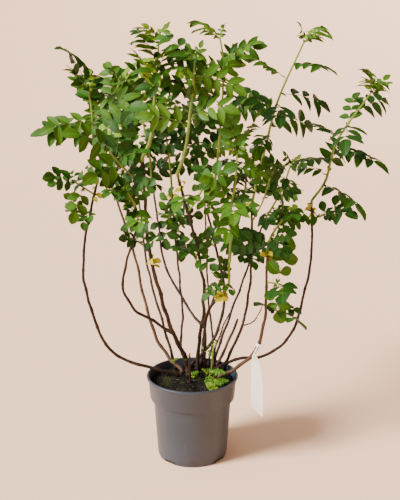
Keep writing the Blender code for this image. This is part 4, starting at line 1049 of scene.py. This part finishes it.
# the tag: the top of its blade, its strap, the loop round the cane and the blade's outline
tag = {
    "top": (0.1248, -0.045, 0.239), "thick": 0.0009, "bow": 0.0012, "fall": 0.134,
    "strap": 0.007, "strapShare": 0.36, "corner": 0.0022,
    "loopAt": 0.39, "loopHigh": 0.006, "loopWall": 0.0012, "loopTurns": 28, "loopClear": 0.0006,
    "outline": ((-0.0028, 0.0), (-0.0048, -0.02), (-0.0052, -0.114), (0.0197, -0.1385), (0.0199, -0.1),
                (0.0188, -0.066), (0.0147, -0.0345), (0.009, -0.014), (0.003, 0.0)),
}


def tagFinish():
    white = Finish("whiteTagPlastic", Roughness=0.38, Specular_IOR_Level=0.5)
    cloud = white.speckle(28, 3)
    grime = white.between(white.speckle(90, 5, (1, 1, 1), 0.7), 0.58, 0.72)
    clean = white.blend(white.between(cloud, 0.35, 0.65), tint(246, 246, 244), tint(252, 252, 250))
    white.feed("Base Color", white.blend(grime * 0.15, clean, tint(186, 176, 156)))
    white.relief(cloud, 0.1, 0.0006)
    return white.material


def buildTag():
    shell = bmesh.new()
    corners = [shell.verts.new((x, 0, y)) for x, y in tag["outline"]]
    shell.faces.new(corners)
    bmesh.ops.bevel(shell, geom=corners, offset=tag["corner"], offset_type="OFFSET", segments=3,
                    profile=0.5, affect="VERTICES", material=-1)
    grown = bmesh.ops.extrude_face_region(shell, geom=shell.faces[:])["geom"]
    back = [part for part in grown if isinstance(part, bmesh.types.BMVert)]
    bmesh.ops.translate(shell, verts=back, vec=(0, tag["thick"], 0))
    middle = Vector((0, tag["thick"] / 2, 0))
    bmesh.ops.translate(shell, verts=shell.verts, vec=Vector(tag["top"]) - middle)
    for vertex in shell.verts:  # the blade bows a little towards its foot
        drop = (tag["top"][2] - vertex.co.z) / tag["fall"]
        vertex.co.y += tag["bow"] * (math.sin(drop * 3) - drop)
    route = canePath("cane_tagged")
    place, direction = placeAlong(route, tag["loopAt"])
    hole = caneRadius("cane_tagged", tag["loopAt"]) + tag["loopClear"]
    across = direction.orthogonal().normalized()
    band = [(hole, -0.5), (hole + tag["loopWall"], -0.5), (hole + tag["loopWall"], 0.5), (hole, 0.5)]
    lift = direction * tag["loopHigh"]
    ring = [shell.verts.new(place + across * radius + lift * rise) for radius, rise in band]
    edges = [shell.edges.new((ring[index], ring[(index + 1) % 4])) for index in range(4)]
    bmesh.ops.spin(shell, geom=ring + edges, cent=place, axis=direction, angle=math.tau,
                   steps=tag["loopTurns"], use_merge=True)
    side = squareTo(direction, Vector(tag["top"]) - place)
    start = place + side * (hole + tag["loopWall"] / 2)
    run = Vector(tag["top"]) - start
    along = run.normalized()
    wide = squareTo(along, Vector((1, 0, 0)))
    length = run.length + tag["strap"]
    thick = along.cross(wide) * tag["thick"]
    sides = Matrix((wide * tag["strap"] * tag["strapShare"], along * length, thick))
    seat = sides.transposed().to_4x4()
    seat.translation = start + along * length / 2
    strap = bmesh.ops.create_cube(shell, size=1, matrix=seat)["verts"]
    edges = list(dict.fromkeys(edge for vertex in strap for edge in vertex.link_edges))
    bmesh.ops.bevel(shell, geom=edges, offset=0.0003, offset_type="OFFSET", segments=2, profile=0.5,
                    affect="EDGES", material=-1)
    bmesh.ops.recalc_face_normals(shell, faces=shell.faces)
    piece = finishPiece("plantTag", shell, tagFinish(), ["plant_tag"])
    piece.data.set_sharp_from_angle(angle=math.radians(35))
    print("tag hung")


# the floor sweeps up far away; the light comes from the front left and fades to the right
studio = {
    "floor": (0.97, 0.63, 0.42), "flat": 3.5, "rise": 9, "sweepTurn": 50, "sweepSteps": 28, "turns": 96,
    "horizon": (1, 0.79, 0.62), "horizonAt": 0.06, "low": 1.7,
    "zenith": (1, 0.97, 0.93), "zenithAt": 0.55, "high": 0.7,
    "sunFrom": (-1.75, -0.8, 1.2), "sunPower": 10.2, "sunSoft": 20, "sunTint": (1, 0.98, 0.95),
    "fadeSpan": (-0.9, 0.6), "shares": (1.9, 0.1),
}


def buildFloor():
    ground = bmesh.new()  # a flat floor that sweeps up into a low rim far from the bush
    flat, rise = studio["flat"], studio["rise"]
    profile = [ground.verts.new((0, 0, 0))]
    for index in range(studio["sweepSteps"] + 1):
        angle = math.radians(studio["sweepTurn"]) * index / studio["sweepSteps"]
        out, height = flat + rise * math.sin(angle), rise * (1 - math.cos(angle))
        profile.append(ground.verts.new((out, 0, height)))
    for start, end in zip(profile, profile[1:]):
        ground.edges.new((start, end))
    bmesh.ops.spin(ground, geom=profile + ground.edges[:], cent=(0, 0, 0), axis=(0, 0, 1),
                   angle=math.tau, steps=studio["turns"], use_merge=True)
    bmesh.ops.remove_doubles(ground, verts=ground.verts, dist=0.00001)
    bmesh.ops.recalc_face_normals(ground, faces=ground.faces)
    if sum(face.normal.z for face in ground.faces) < 0:
        bmesh.ops.reverse_faces(ground, faces=ground.faces)
    for face in ground.faces:
        face.smooth = True
    mesh = bpy.data.meshes.new("floor")
    ground.to_mesh(mesh)
    ground.free()
    paper = Finish("palePaper", Roughness=0.95, Specular_IOR_Level=0.1)
    fibre = paper.between(paper.speckle(300, 2), 0.3, 0.7)
    paper.feed("Base Color", paper.blend(fibre * 0.04, (*studio["floor"], 1), (1, 1, 1, 1)))
    mesh.materials.append(paper.material)
    floor = bpy.data.objects.new("floor", mesh)
    bpy.context.scene.collection.objects.link(floor)
    print("floor laid")


def buildLight():
    world = bpy.data.worlds.new("studio")
    world.use_nodes = True
    tree = world.node_tree
    spot = tree.nodes.new("ShaderNodeTexCoord")
    split = tree.nodes.new("ShaderNodeSeparateXYZ")
    ramp = tree.nodes.new("ShaderNodeValToRGB")
    for stop, shade, power in ((0, "horizon", "low"), (1, "zenith", "high")):
        ramp.color_ramp.elements[stop].position = studio[shade + "At"]
        ramp.color_ramp.elements[stop].color = (*(c * studio[power] for c in studio[shade]), 1)
    tree.links.new(spot.outputs["Generated"], split.inputs[0])
    tree.links.new(split.outputs["Z"], ramp.inputs[0])
    tree.links.new(ramp.outputs[0], tree.nodes["Background"].inputs["Color"])
    fade = tree.nodes.new("ShaderNodeMapRange")
    limits = (*studio["fadeSpan"], *studio["shares"])
    for socket, value in zip(("From Min", "From Max", "To Min", "To Max"), limits):
        fade.inputs[socket].default_value = value
    tree.links.new(split.outputs["X"], fade.inputs["Value"])
    tree.links.new(fade.outputs[0], tree.nodes["Background"].inputs["Strength"])
    bpy.context.scene.world = world
    sun = bpy.data.lights.new("softSun", "SUN")
    sun.energy = studio["sunPower"]
    sun.angle = math.radians(studio["sunSoft"])
    sun.color = studio["sunTint"]
    lamp = bpy.data.objects.new("softSun", sun)
    lamp.rotation_euler = Vector(studio["sunFrom"]).to_track_quat("Z", "Y").to_euler()
    bpy.context.scene.collection.objects.link(lamp)
    print("studio lit")


noise.seed_set(caneLook["crookSeed"])  # the same crooks in every run
makeCamera()
buildFloor()
buildLight()
buildPot()
buildSoil()
buildCanes()
buildTag()
buildFoliage()
